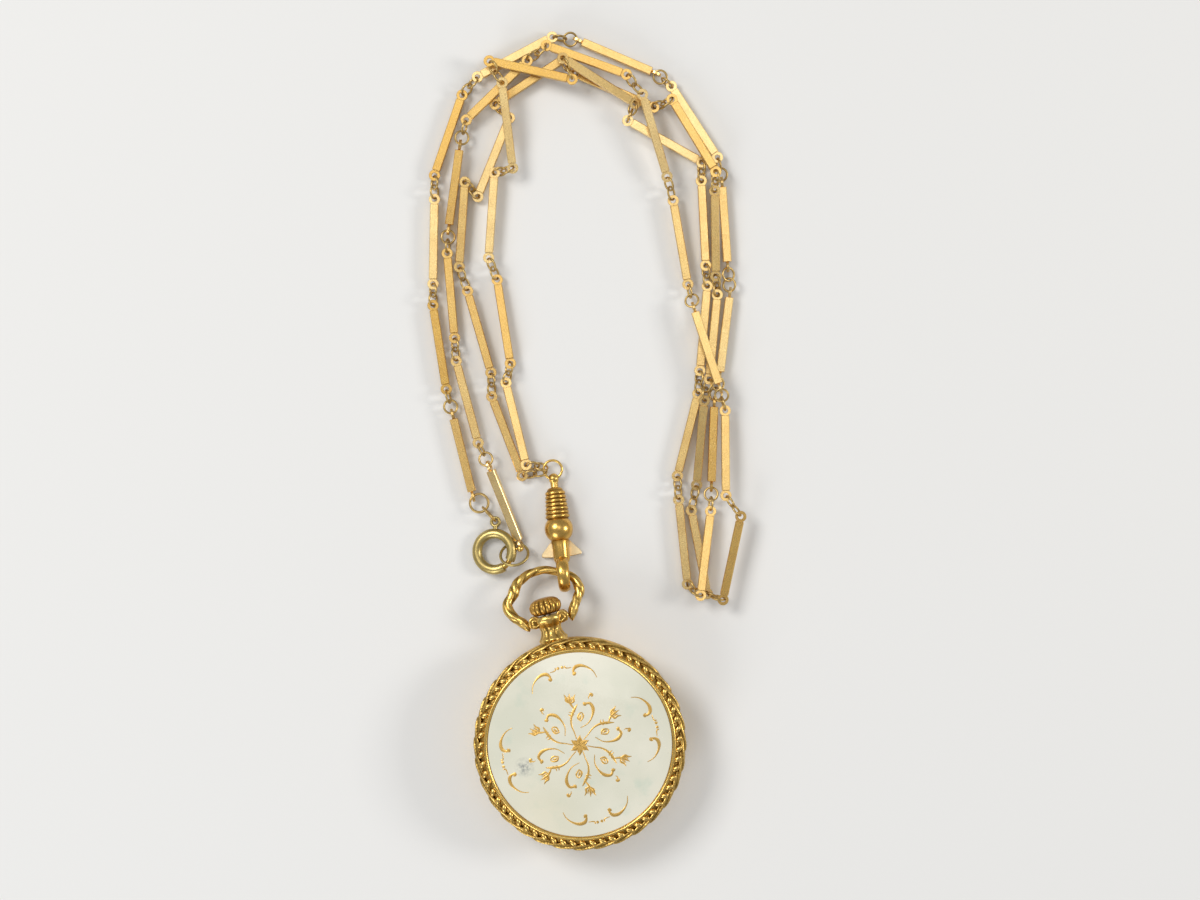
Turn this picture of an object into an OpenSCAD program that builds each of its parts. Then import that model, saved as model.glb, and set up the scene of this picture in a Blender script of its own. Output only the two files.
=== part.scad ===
// Ladies' pendant watch lying on its face, with a swivel clasp and a long bar-link chain.
// Millimetres. The origin is the middle of the case on the table, +Z comes out of the back,
// and +Y runs through the crown.

/* [Case] */
// Radius of the mainplate's body, which the case is built round
plate_r = 12.5; // [12.4:0.05:12.6]
// Thickness of the case middle's wall
case_wall = 2.3; // [2.1:0.1:2.5]
// Height of the case middle
middle_h = 5.2; // [5.1:0.1:5.6]
// Distance that the front bezel stands out past the case middle
bezel_lip = 0.6; // [0.4:0.1:1.2]
// Height of the front bezel
bezel_h = 2.4; // [2.3:0.1:2.6]
// Width of the bezel round the crystal
bezel_w = 2.7; // [2.5:0.1:3]
// Thickness of the crystal
crystal_t = 0.6; // [0.5:0.05:0.65]
// Rise of the crystal's dome
crystal_rise = 0.85; // [0.6:0.05:0.9]

/* [Back] */
// Width of the ring outside the enamel panel
rim_w = 1.3; // [1.2:0.1:1.6]
// Thickness of the enamel panel
enamel_t = 0.6; // [0.4:0.05:0.7]
// Rise of the enamel panel's dome
enamel_rise = 1.1; // [0.9:0.1:1.4]
// Height of the enamel's edge over the case middle
enamel_edge_h = 1.75; // [1.7:0.05:2]
// Thickness of the plate under the enamel
back_plate_t = 0.5; // [0.4:0.05:0.6]
// Radius of the smooth fillet's section
fillet_r = 0.35; // [0.3:0.05:0.4]
// Radius of the bead row's section
bead_r = 0.5; // [0.45:0.05:0.55]
// Radius of the rope edge's section
rope_r = 0.6; // [0.5:0.05:0.65]

/* [Pendant] */
// Distance of the bow's hinge from the case middle's wall
pendant_h = 4.2; // [4:0.1:4.8]
// Radius of the neck's waist
neck_waist_r = 1.65; // [1.6:0.05:1.9]
// Radius of the neck's scrolls
scroll_r = 1; // [0.9:0.05:1.1]
// Distance of each scroll from the neck's middle
scroll_x = 2.1; // [2:0.05:2.2]
// Radius of the hole for the sleeve
sleeve_r = 1.1; // [1.05:0.05:1.2]
// Radius of the winding stem
stem_r = 0.55; // [0.5:0.05:0.6]
// Radius of the crown
crown_r = 2.6; // [2.4:0.1:2.8]
// Length of the crown
crown_len = 2.7; // [2.5:0.1:3]
// Number of flutes round the crown
crown_flutes = 16; // [12:1:20]
// Distance that the crown pulls out
crown_pull = 0.8; // [0.6:0.1:0.9]
// Radius of the bow's wire
bow_r = 0.62; // [0.5:0.02:0.65]
// Radius of the bow's pivots
bow_pin_r = 0.38; // [0.34:0.02:0.42]
// Angle that the resting bow leans down from level
bow_lean = 17; // [15:1:18]

/* [Movement] */
// Thickness of the mainplate
plate_t = 1.75; // [1.7:0.05:1.75]
// Thickness of the bridges
bridge_t = 0.55; // [0.5:0.05:0.6]
// Thickness of the dial
dial_t = 0.4; // [0.3:0.05:0.4]
// Radius of the balance wheel
balance_r = 4.1; // [3.8:0.1:4.2]
// Length of the minute hand
minute_len = 11; // [9:0.5:12]
// Length of the hour hand
hour_len = 7.4; // [6:0.2:8]

/* [Swivel clasp] */
// Length from the hook's middle to the hole in the eye
swivel_len = 15.2; // [15:0.1:16]
// Radius of the space inside the hook
hook_in_r = 1.6; // [1.5:0.05:1.7]
// Radius of the hook's wire
hook_r = 0.65; // [0.6:0.05:0.7]
// Radius of the swivel's collar
collar_r = 2.3; // [2.1:0.1:2.4]
// Number of ribs along the swivel
swivel_ribs = 7; // [5:1:9]
// Width across the thumb fins
fin_span = 6.3; // [5.6:0.1:6.6]

/* [Chain] */
// Distance between the two eyelets of a bar
bar_len = 13.4; // [13.2:0.1:13.6]
// Width of a square bar
bar_w = 1.3; // [1.1:0.05:1.35]
// Radius of the flattened eyelets
eyelet_r = 0.88; // [0.85:0.01:0.9]
// Radius of the hole in an eyelet
eyelet_hole_r = 0.42; // [0.38:0.01:0.45]
// Thickness of an eyelet
eyelet_t = 0.45; // [0.35:0.05:0.5]
// Radius of a small ring, to the middle of its wire
link_ring_r = 1.05; // [1:0.01:1.1]
// Radius of a small ring's wire
link_wire_r = 0.17; // [0.15:0.01:0.18]

/* [Chain clasp] */
// Radius of the spring ring, to the middle of its tube
spring_ring_r = 2.86; // [2.8:0.02:3]
// Radius of the spring ring's tube
spring_tube_r = 0.78; // [0.7:0.02:0.8]
// Radius of the jump ring
jump_ring_r = 2.2; // [2.1:0.01:2.3]
// Radius of the jump ring's wire
jump_wire_r = 0.22; // [0.2:0.01:0.24]
// Radius of the two rings beside the spring ring, and of the swivel's ring
clasp_ring_r = 1.45; // [1.4:0.01:1.5]

/* [Hidden] */
$fn = 48;

// Clearances
fit = 0.02;
running = 0.04;
seat_gap = 0.05;

// Radii of the case, from the movement out
case_in_r = plate_r + 0.8;
case_r = case_in_r + case_wall;
bezel_r = case_r + bezel_lip;
crystal_open_r = bezel_r - bezel_w;
enamel_r = case_r - rim_w;
hinge_y = case_r + pendant_h;
// Share of the movement's usual size, so that the train follows the mainplate
train_k = plate_r / 12.5;

// Heights of the case, from the table up
middle_z = bezel_h;
back_z = middle_z + middle_h;
enamel_z = back_z + enamel_edge_h;
dome_r = (enamel_r * enamel_r + enamel_rise * enamel_rise) / (2 * enamel_rise);
dome_z = enamel_z + enamel_rise - dome_r;
stem_z = middle_z + 2.8;
ledge_in_r = case_in_r - 0.5;
crystal_r = crystal_open_r + 0.55;
crystal_z = 1.15;

// Heights of the movement
ledge_z = middle_z + 0.3;
dial_z = ledge_z + 0.5;
plate_z = dial_z + dial_t + seat_gap;
plate_top = plate_z + plate_t;
bridge_z = plate_top + 2.05;
bridge_top = bridge_z + bridge_t;
cock_z = bridge_top + 0.05;
cock_t = 0.45;
minute_hand_z = 2.55;
hour_hand_z = 2.85;
hand_t = 0.15;

// Heights of the wheels over the mainplate
barrel_z = plate_top + 0.1;
barrel_h = 1.1;
centre_z = plate_top + 1.45;
third_z = plate_top + 0.9;
fourth_z = plate_top + 0.3;
escape_z = plate_top + 0.9;
pallet_z = plate_top + 0.9;
balance_z = plate_top + 1.85;
wheel_t = 0.2;

// Gearing: tooth counts and modules
barrel_n = 72;
centre_pin_n = 12;
barrel_m = 0.15 * train_k;
centre_n = 64;
third_pin_n = 8;
centre_m = 0.125 * train_k;
third_n = 60;
fourth_pin_n = 8;
third_m = 0.11 * train_k;
fourth_n = 60;
escape_pin_n = 6;
fourth_m = 0.1 * train_k;
cannon_n = 12;
minute_n = 36;
minute_m = 0.15 * train_k;
minute_pin_n = 10;
hour_n = 40;
hour_m = minute_m * (cannon_n + minute_n) / (minute_pin_n + hour_n);
wind_n = 15;
contrate_n = 22;
wind_m = 0.18 * train_k;
crown_wheel_n = 32;
ratchet_n = 44;
ratchet_m = 0.18 * train_k;

// Places of the arbors, each one centre distance from the last
function turn_to(a, d) = [d * cos(a), d * sin(a)];
barrel_way = 35;
third_way = -110;
fourth_way = 200;
escape_way = 135;
pallet_way = 100;
balance_way = 60;
minute_way = -150;
barrel_at = turn_to(barrel_way, barrel_m * (barrel_n + centre_pin_n) / 2);
third_at = turn_to(third_way, centre_m * (centre_n + third_pin_n) / 2);
fourth_at = third_at + turn_to(fourth_way, third_m * (third_n + fourth_pin_n) / 2);
escape_at = fourth_at + turn_to(escape_way, fourth_m * (fourth_n + escape_pin_n) / 2);
pallet_at = escape_at + turn_to(pallet_way, 2.75 * train_k);
balance_at = pallet_at + turn_to(balance_way, 3.1 * train_k);
minute_at = turn_to(minute_way, minute_m * (cannon_n + minute_n) / 2);
crown_wheel_reach = ratchet_m * (crown_wheel_n + ratchet_n) / 2;
crown_wheel_y = barrel_at[1] + sqrt(pow(crown_wheel_reach, 2) - pow(barrel_at[0], 2));
crown_wheel_at = [0, crown_wheel_y];
crown_wheel_way = atan2(crown_wheel_y - barrel_at[1], -barrel_at[0]);
wind_y = crown_wheel_y + wind_m * contrate_n / 2;
lever_y = wind_y + 1.6;

// Phase that sets a second gear's gap on the first gear's tooth
function mesh(n1, phase1, n2, way) =
    way + 180 - (0.5 - (way - phase1) * n1 / 360) * 360 / n2;
barrel_phase = mesh(centre_pin_n, 0, barrel_n, barrel_way);
third_phase = mesh(centre_n, 0, third_pin_n, third_way);
fourth_phase = mesh(third_n, third_phase, fourth_pin_n, fourth_way);
escape_phase = mesh(fourth_n, fourth_phase, escape_pin_n, escape_way);
minute_phase = mesh(cannon_n, 0, minute_n, minute_way);
hour_phase = mesh(minute_pin_n, minute_phase, hour_n, minute_way + 180);
ratchet_phase = mesh(crown_wheel_n, 0, ratchet_n, crown_wheel_way + 180);

// The bow's own outline, [sideways, out from the hinge], as it lies in the photograph
bow_path = [[-3.9, 0], [-5.3, 1.7], [-5.8, 3.8], [-4.3, 5.5], [-3, 6.9], [-1.2, 7.9],
            [1.3, 7.9], [3.1, 7.1], [5.4, 5.6], [5.9, 3.8], [5, 2.2], [4.3, 0.9], [3.9, 0]];
// Point of the bow that lies in the hook
hook_on_bow = [4, 6.5];
hook_at = [hook_on_bow[0],
           hinge_y + hook_on_bow[1] * cos(bow_lean),
           stem_z - hook_on_bow[1] * sin(bow_lean)];

// The swivel's way across the table and its dip towards the eye
swivel_way = 81.5;
eye_z = 1.3;
swivel_dip = asin((hook_at[2] - eye_z) / swivel_len);
eye_at = hook_at + swivel_len * [cos(swivel_dip) * cos(swivel_way),
                                 cos(swivel_dip) * sin(swivel_way),
                                 -sin(swivel_dip)];
swivel_ring_at = eye_at + clasp_ring_r * [cos(swivel_way), sin(swivel_way), 0];
clasp_wire_r = 0.2;

// The chain as it was laid out by hand, in two halves that both start at the swivel's ring.
// Each link is [way of its two rings, span of the rings, way of the bar, roll of the bar,
// height of the bar's start, height of its end]. A sharp fold has two more values: how far each
// of its rings is turned about the span. The ways are measured from the layout's own cross
// line, which is turned by layout_turn from the watch's.
layout_turn = -14.5;
low = 1.2;
outer_half = [
    [172, 3.516, 104, 0, 2.2, 1.08],
    [77, 3.207, 99, 0, 1.7, low],
    [111, 3.751, 86, 0, 1.76, 2.11],
    [14, 3.054, 97, 0, 2.75, 4.04],
    [120, 4.12, -12.9, 0, 3.46, 4.23],
    [114.18, 3.6, -31, 0, 4.7, 2.7, 26, -7],
    [-113.16, 3.001, -29, 0, 1.68, 1.08, -8, -28],
    [-91, 2.999, -87, 0, 1.09, 1.14],
    [-86, 3.293, -95, 0, 1.14, low],
    [-95, 3.7, -104, 0, low, low],
    [-87, 3.8, -84, 0, low, low],
    [-40, 3.318, 83, 0, 3.22, 1.82],
    [87.99, 3.968, 88, 90, low, low],
    [78, 4.099, 83, 90, low, low],
    [95, 4.1, 94, 90, low, low],
    [100, 4, 123, 0, low, low],
    [140, 3.2, 157, 90, low, low],
    [173, 4.1, 208, 0, low, low],
    [-130, 3.8, 251, 0, low, low],
    [-90, 3.8, 269, 0, low, low],
    [-90, 3.4, 279, 0, low, low],
    [-76, 4.1, 284, 90, low, low]];
inner_half = [
    [189, 4.105, 111, 0, 1.08, 1.14],
    [92, 3.8, 106, 0, low, low],
    [109, 4.102, 86, 0, 1.08, 1.7],
    [-48, 3.077, 68, 0, 1.08, 1.54],
    [136, 3.241, 33, 0, 1.08, 1.7],
    [-58, 3.056, -23, 0, low, low],
    [20, 3.345, -59, 0, 2.68, 3.38],
    [-93.14, 2.995, -89, 0, 2.96, 1.84],
    [-84.85, 3.012, -95.5, 0, low, low],
    [-103.43, 3.708, -95, 0, 2.22, low],
    [-101.62, 4.108, -79.2, 0, 1.08, 1.08],
    [-19.56, 3.311, 78, 0, 3.19, 3.45, 15, -12],
    [125.09, 4.092, 90.35, 0, 2.78, 2.05, 12, -14],
    [103.75, 3.872, 108, 90, 3.39, 2.89, -8, 0],
    [103, 4.12, 100, 0, 1.43, 1.7],
    [105, 3.961, 107, 0, 2.6, 4.05],
    [128, 4.12, 160, 0, 3.61, 3.26],
    [-144, 3.928, 224, 0, 2.24, 1.83],
    [-104, 4.107, -98, 90, 1.86, low],
    [-93, 3.816, -85, 0, low, low],
    [-86, 3.7, -75, 0, low, low],
    [-64.2, 4.1, -68.4, 105, 1.8, 1.04]];
// Direction, seen from the swivel's ring, in which each half leaves it
outer_leave = 160;
inner_leave = 202;
// Places of the chain's own clasp on the table
spring_ring_at = [-5.72, 32.1, 1.52];
spring_ring_tilt = 14.6;
jump_way = -22;
jump_lean = -38.8;

// Where a half of the chain starts, inside the swivel's ring
ring_rim = clasp_ring_r - clasp_wire_r - link_wire_r - 0.22;
function leave_at(way) = swivel_ring_at
    + ring_rim * [cos(way + layout_turn), sin(way + layout_turn), 0];
// Step of a given length along a way, with a given rise
function step(length, way, rise) = let (run = sqrt(length * length - rise * rise))
    [run * cos(way + layout_turn), run * sin(way + layout_turn), rise];
// Start and end of link n, in the order of the list
function link_start(links, from, n) = let (last = n == 0 ? from : link_end(links, from, n - 1))
    last + step(links[n][1], links[n][0], links[n][4] - last[2]);
function link_end(links, from, n) = link_start(links, from, n)
    + step(bar_len, links[n][2], links[n][5] - links[n][4]);
// Slip of the rings in the eyelets' holes, outwards where the joint is pulled long
function slip(span) = max(-0.17, min(0.17, (span - 3.52) / 2));
// Signed turn between the rolls of two eyelets, which look the same after half a turn
function roll_turn(a, b) = let (d = b - a) d - 180 * round(d / 180);
// The two rings of a joint stand at least this far across each other
ring_cross = 60;
ring_lean = 12;

// Outline of a gear with straight-sided teeth, first tooth on the X axis
function gear_points(n, m, high = 0.9, deep = 1.3, thick = 0.2) = [
    for (i = [0 : n - 1], s = [-1.25, -0.62, 0.62, 1.25])
        let (r = n * m / 2 + (abs(s) > 1 ? -deep * m : high * m))
        [r * cos((i + s * thick) * 360 / n), r * sin((i + s * thick) * 360 / n)]];
// Outline of a flat spiral strip
function spiral_side(r0, r1, turns, steps) = [
    for (i = [0 : turns * steps])
        let (r = r0 + (r1 - r0) * i / (turns * steps))
        [r * cos(360 * i / steps), r * sin(360 * i / steps)]];
function back_order(list) = [for (i = [len(list) - 1 : -1 : 0]) list[i]];

module tube(outer, inner, h) {
    difference() {
        cylinder(r = outer, h = h);
        translate([0, 0, -1])
            cylinder(r = inner, h = h + 2);
    }
}

module torus(major, minor) {
    rotate_extrude()
        translate([major, 0])
            circle(r = minor);
}

module gear(n, m, h, phase = 0, bore = 0.2, high = 0.9, deep = 1.3, thick = 0.2) {
    difference() {
        rotate([0, 0, phase])
            linear_extrude(h)
                polygon(gear_points(n, m, high, deep, thick));
        translate([0, 0, -1])
            cylinder(r = bore, h = h + 2);
    }
}

// A flat bar with round ends between two points
module arm(from, to, w, h) {
    reach = to - from;
    translate([from[0], from[1], 0]) {
        cylinder(r = w / 2, h = h);
        rotate([0, 0, atan2(reach[1], reach[0])])
            translate([0, -w / 2, 0])
                cube([norm(reach), w, h]);
    }
    translate([to[0], to[1], 0])
        cylinder(r = w / 2, h = h);
}

// A wheel with crossed-out spokes, its pinion and its arbor between two plates
module train_wheel(n, m, wheel_z, pin_n, pin_m, pin_z, pin_h, phase, pin_phase, top_z) {
    root_r = n * m / 2 - 1.3 * m;
    translate([0, 0, wheel_z]) {
        difference() {
            gear(n, m, wheel_t, phase);
            translate([0, 0, -1])
                tube(root_r - 0.35, 0.75, wheel_t + 2);
        }
        for (a = [0, 90])
            rotate([0, 0, a + 45])
                translate([0.3 - root_r, -0.2, 0])
                    cube([2 * root_r - 0.6, 0.4, wheel_t]);
    }
    translate([0, 0, pin_z])
        gear(pin_n, pin_m, pin_h, pin_phase, 0.1, 0.8, 1.1, 0.17);
    translate([0, 0, plate_top + 0.05])
        cylinder(r = 0.22, h = top_z - plate_top - 0.1);
    translate([0, 0, plate_top - 0.35])
        cylinder(r = 0.1, h = top_z - plate_top + 0.7);
}

// Case
module case_middle() {
    color("goldenrod") difference() {
        rotate_extrude()
            polygon([[case_in_r, middle_z - 0.5], [crystal_r, middle_z - 0.5],
                     [crystal_r, middle_z], [case_r - 0.35, middle_z], [case_r, middle_z + 0.9],
                     [case_r, back_z - 0.9], [case_r - 0.35, back_z], [case_in_r, back_z],
                     [case_in_r, dial_z - 0.05], [ledge_in_r, dial_z - 0.05],
                     [ledge_in_r, ledge_z], [case_in_r, ledge_z]]);
        translate([0, case_in_r - 1, stem_z])
            rotate([-90, 0, 0])
                cylinder(r = sleeve_r + fit, h = case_wall + 2);
        screw_places()
            cylinder(r = 0.95, h = 0.7);
    }
}

// The two case screws stand in the mainplate's flange and reach into the case's wall
module screw_places() {
    for (a = [140, -35])
        rotate([0, 0, a])
            translate([case_in_r - 0.5, 0, plate_z + 0.75])
                children();
}

module case_screws() {
    color("steelblue") screw_places() {
        difference() {
            translate([0, 0, 0.05])
                cylinder(r = 0.85, h = 0.4);
            translate([-1, -0.08, 0.3])
                cube([2, 0.16, 0.5]);
        }
        translate([0, 0, -0.6])
            cylinder(r = 0.3, h = 0.7);
    }
}

module front_bezel() {
    color("goldenrod") rotate_extrude()
        polygon([[crystal_open_r, 0.6], [crystal_open_r + 0.3, 0.15], [crystal_open_r + 0.7, 0],
                 [bezel_r - 0.9, 0], [bezel_r - 0.3, 0.25], [bezel_r, 0.9],
                 [bezel_r, bezel_h - 0.8], [bezel_r - 0.2, bezel_h - 0.2],
                 [bezel_r - 0.5, bezel_h], [crystal_r + fit, bezel_h],
                 [crystal_r + fit, crystal_z], [crystal_open_r, crystal_z]]);
}

// The crystal's rim sits in the bezel, and its dome comes down to just over the table
module crystal() {
    bulge = (crystal_open_r * crystal_open_r + crystal_rise * crystal_rise) / (2 * crystal_rise);
    inner = bulge - crystal_t;
    low_z = crystal_z + 0.02;
    color("lightblue", 0.4) difference() {
        union() {
            translate([0, 0, low_z])
                cylinder(r = crystal_r, h = crystal_t);
            intersection() {
                translate([0, 0, low_z - crystal_rise + bulge])
                    sphere(r = bulge);
                cylinder(r = crystal_open_r - fit, h = low_z + 0.1);
            }
        }
        intersection() {
            translate([0, 0, low_z - crystal_rise + bulge])
                sphere(r = inner);
            cylinder(r = crystal_open_r - 0.6, h = 5);
        }
    }
}

// Back cover with a snap lip, and a domed plate that carries the enamel
module back_cover() {
    plate_r = dome_r - enamel_t;
    color("goldenrod") rotate_extrude()
        polygon(concat([[case_in_r - 0.55, back_z - 0.5], [case_in_r - 0.05, back_z - 0.5],
                        [case_in_r - 0.05, back_z], [case_r, back_z], [case_r, back_z + 0.3],
                        [enamel_r + 0.5, back_z + 0.6], [enamel_r, enamel_z - enamel_t - 0.1]],
                       [for (i = [12 : -1 : 0]) dome_point(plate_r, enamel_r * i / 12)],
                       [for (i = [0 : 12])
                            dome_point(plate_r - back_plate_t, (case_in_r - 0.55) * i / 12)]));
}

// Point of a dome about the enamel's centre, as [radius, height]
function dome_point(ball_r, r) = [r, dome_z + sqrt(ball_r * ball_r - r * r)];

module enamel_panel() {
    color("ivory") difference() {
        intersection() {
            translate([0, 0, dome_z])
                sphere(r = dome_r);
            translate([0, 0, back_z])
                cylinder(r = enamel_r, h = enamel_edge_h + enamel_rise + 1);
        }
        translate([0, 0, dome_z])
            sphere(r = dome_r - enamel_t);
    }
}

// Ring that frames the enamel: a smooth fillet, a row of beads and a rope edge
module back_ring() {
    fillet_at = enamel_r + fillet_r + fit;
    bead_at = fillet_at + fillet_r + bead_r - 0.1;
    rope_at = bead_at + rope_r - 0.05;
    color("gold") {
        rotate_extrude()
            polygon([[enamel_r + fit, enamel_z - 0.5], [enamel_r + 0.52, back_z + 0.63],
                     [case_r - 0.1, back_z + 0.35], [case_r, back_z + 0.9],
                     [bead_at, enamel_z - 0.2], [enamel_r + fit, enamel_z]]);
        translate([0, 0, enamel_z - 0.05])
            torus(fillet_at, fillet_r);
        translate([0, 0, enamel_z - 0.3])
            torus(bead_at, bead_r);
        translate([0, 0, back_z + 0.35 + rope_r])
            torus(rope_at, rope_r);
    }
}

// Pendant
module along_y(y) {
    translate([0, y, stem_z])
        rotate([-90, 0, 0])
            children();
}

module pendant_neck() {
    foot_y = case_r - 0.3;
    top_y = hinge_y + 0.65;
    color("gold") difference() {
        union() {
            along_y(0)
                rotate_extrude()
                    polygon([[0, foot_y], [2.3, foot_y], [2.3, foot_y + 0.9],
                             [2.1, foot_y + 1.5], [neck_waist_r + 0.15, foot_y + 2.1],
                             [neck_waist_r, foot_y + 2.8], [neck_waist_r + 0.25, foot_y + 3.6],
                             [2.35, hinge_y - 0.5], [2.5, hinge_y], [2.3, top_y], [0, top_y]]);
            for (s = [-1, 1])
                translate([s * scroll_x, hinge_y, stem_z - 1.35])
                    cylinder(r = scroll_r, h = 2.7);
        }
        cylinder(r = case_r + 0.01, h = back_z + 5);
        along_y(case_r - 2)
            cylinder(r = sleeve_r + fit, h = 8);
        for (s = [-1, 1])
            translate([s * (sleeve_r + 0.5), hinge_y, stem_z])
                rotate([0, s * 90, 0])
                    cylinder(r = bow_pin_r + running, h = 3);
    }
}

module pendant_sleeve() {
    color("darkgoldenrod") along_y(case_in_r + 0.9)
        tube(sleeve_r, stem_r + running, hinge_y + 0.5 - case_in_r - 0.9);
}

// One stretch of the bow: a round bar with a ball at its far end
module bow_stretch(from, to, r) {
    reach = to - from;
    translate([from[0], from[1], 0])
        rotate([0, 0, atan2(reach[1], reach[0])])
            rotate([0, 90, 0]) {
                cylinder(r = r, h = norm(reach));
                translate([0, 0, norm(reach)])
                    sphere(r = r * 1.04);
            }
}

module bow() {
    last = len(bow_path) - 1;
    color("gold") translate([0, hinge_y, stem_z]) rotate([-bow_lean, 0, 0]) {
        for (i = [1 : last])
            bow_stretch(bow_path[i - 1], bow_path[i], bow_r);
        for (s = [-1, 1])
            translate([s * (sleeve_r + 0.65), 0, 0])
                rotate([0, s * 90, 0])
                    cylinder(r = bow_pin_r, h = bow_path[last][0] - sleeve_r - 0.65);
        translate([bow_path[0][0], 0, 0])
            rotate([0, 90, 0])
                sphere(r = bow_r * 1.04);
    }
}

module crown() {
    foot_y = hinge_y + 0.8;
    color("goldenrod") along_y(foot_y) difference() {
        rotate_extrude()
            polygon([[0, 0], [1.2, 0], [crown_r - 0.4, 0.3], [crown_r - 0.05, 0.9],
                     [crown_r, crown_len * 0.55], [crown_r - 0.35, crown_len * 0.8],
                     [crown_r - 1.2, crown_len - 0.05], [0, crown_len]]);
        translate([0, 0, -1])
            cylinder(r = stem_r - 0.03, h = 1 + crown_len - 0.9);
        for (i = [0 : crown_flutes - 1])
            rotate([0, 0, i * 360 / crown_flutes])
                translate([crown_r + 0.2, 0, -1])
                    cylinder(r = 0.36, h = crown_len + 2);
    }
}

module winding_stem() {
    foot_y = crown_wheel_y - 1.9;
    top_y = hinge_y + 0.8;
    groove_y = lever_y - 0.25;
    color("steelblue") along_y(0) rotate_extrude()
        polygon([[0, foot_y], [0.3, foot_y], [0.3, foot_y + 1.3], [stem_r - 0.1, foot_y + 1.3],
                 [stem_r - 0.1, wind_y - 0.55], [stem_r, wind_y - 0.55], [stem_r, groove_y],
                 [0.3, groove_y], [0.3, groove_y + 0.5], [stem_r, groove_y + 0.5],
                 [stem_r, top_y], [stem_r - 0.05, top_y], [stem_r - 0.05, top_y + crown_len - 1],
                 [0, top_y + crown_len - 1]]);
}

// Dial side
module dial() {
    color("white") difference() {
        union() {
            translate([0, 0, dial_z])
                cylinder(r = case_in_r - 0.1, h = dial_t);
            for (a = [60, 250])
                rotate([0, 0, a])
                    translate([plate_r - 1.9, 0, dial_z])
                        cylinder(r = 0.35, h = dial_t + 1);
        }
        translate([0, 0, dial_z - 1])
            cylinder(r = 0.8, h = 3);
    }
}

module hand(length, hub_r, bore, z) {
    translate([0, 0, z]) difference() {
        union() {
            cylinder(r = hub_r, h = hand_t);
            linear_extrude(hand_t)
                polygon([[-0.28, 0], [-0.2, length * 0.55], [-0.5, length * 0.68], [0, length],
                         [0.5, length * 0.68], [0.2, length * 0.55], [0.28, 0]]);
        }
        translate([0, 0, -1])
            cylinder(r = bore, h = 2);
    }
}

module hour_hand() {
    color("midnightblue") rotate([0, 0, -62])
        hand(hour_len, 0.95, 0.72 + fit, hour_hand_z);
}

module minute_hand() {
    color("midnightblue") rotate([0, 0, 55])
        hand(minute_len, 0.8, 0.3 + fit, minute_hand_z);
}

module cannon_pinion() {
    color("silver") {
        translate([0, 0, plate_z + 0.5])
            gear(cannon_n, minute_m, 0.35, 0, 0.24, 0.8, 1.1, 0.17);
        translate([0, 0, hour_hand_z])
            tube(0.5, 0.24, plate_z + 0.5 - hour_hand_z);
        translate([0, 0, minute_hand_z])
            tube(0.3, 0.24, hour_hand_z - minute_hand_z);
    }
}

module minute_wheel() {
    color("gold") translate([minute_at[0], minute_at[1], 0]) {
        translate([0, 0, plate_z + 0.6])
            gear(minute_n, minute_m, 0.2, minute_phase, 0.22);
        translate([0, 0, plate_z + 0.1])
            gear(minute_pin_n, hour_m, 0.5, minute_phase, 0.22, 0.8, 1.1, 0.17);
    }
}

module hour_wheel() {
    color("gold") {
        translate([0, 0, plate_z + 0.15])
            gear(hour_n, hour_m, 0.2, hour_phase, 0.5 + running);
        translate([0, 0, hour_hand_z])
            tube(0.72, 0.5 + running, plate_z + 0.2 - hour_hand_z);
    }
}

// Plates and bridges
module keyless_room() {
    along_y(5.5)
        cylinder(r = stem_r + 0.1, h = 10);
    translate([-1.65, wind_y - 2.9, plate_z - 1])
        cube([3.3, 3.6, plate_t + 4]);
    translate([-4, wind_y - 1.95, stem_z - 0.15])
        cube([3, 1.45, 3]);
}

module pivot_holes(r, z, h) {
    for (at = [third_at, fourth_at, escape_at, pallet_at, balance_at])
        translate([at[0], at[1], z])
            cylinder(r = r, h = h);
}

module mainplate() {
    color("silver") difference() {
        union() {
            translate([0, 0, plate_z])
                cylinder(r = plate_r, h = plate_t);
            translate([0, 0, plate_z])
                cylinder(r = case_in_r - 0.1, h = 0.75);
        }
        translate([0, 0, plate_z - 1]) {
            cylinder(r = 3.2, h = 1.9);
            translate([minute_at[0], minute_at[1], 0])
                tube(3, 0.2, 1.9);
            cylinder(r = 0.22 + running, h = 5);
            translate([barrel_at[0], barrel_at[1], 0])
                cylinder(r = 0.6 + running, h = 5);
        }
        pivot_holes(0.55 + fit, plate_top - 0.5, 1);
        keyless_room();
        screw_places() {
            translate([0, 0, -2])
                cylinder(r = 0.3 + fit, h = 5);
            translate([0, 0, -0.05])
                cylinder(r = 0.95, h = 3);
        }
        for (a = [60, 250])
            rotate([0, 0, a])
                translate([plate_r - 1.9, 0, plate_z - 1])
                    cylinder(r = 0.35 + fit, h = 2.1);
        for (at = bridge_screw_at)
            translate([at[0], at[1], plate_top - 0.9])
                cylinder(r = 0.32 + fit, h = 2);
    }
}

// The crown wheel's core stands on a saddle that hangs under the bridge
saddle_z = stem_z + 1.12;
barrel_legs = train_k * [[4.5, 10.35], [-3.9, 10.6], [11, -2.6]];
train_legs = train_k * [[7.4, -7.4], [1.6, -10.6], [-9.3, -6.3]];
cock_leg = train_k * [-6.7, 9];
pallet_legs = [pallet_at + turn_to(190, 2), pallet_at + turn_to(350, 2.3)];
bridge_screw_at = concat(barrel_legs, train_legs, [cock_leg]);

module bridge_legs(places, top, r = 0.95) {
    for (at = places)
        translate([at[0], at[1], plate_top])
            cylinder(r = r, h = top - plate_top + 0.1);
}

module bridge_screw_holes(places, top) {
    for (at = places)
        translate([at[0], at[1], plate_top - 1]) {
            cylinder(r = 0.32 + fit, h = 10);
            translate([0, 0, top - plate_top + 1 - 0.25])
                cylinder(r = 0.66, h = 3);
        }
}

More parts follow.
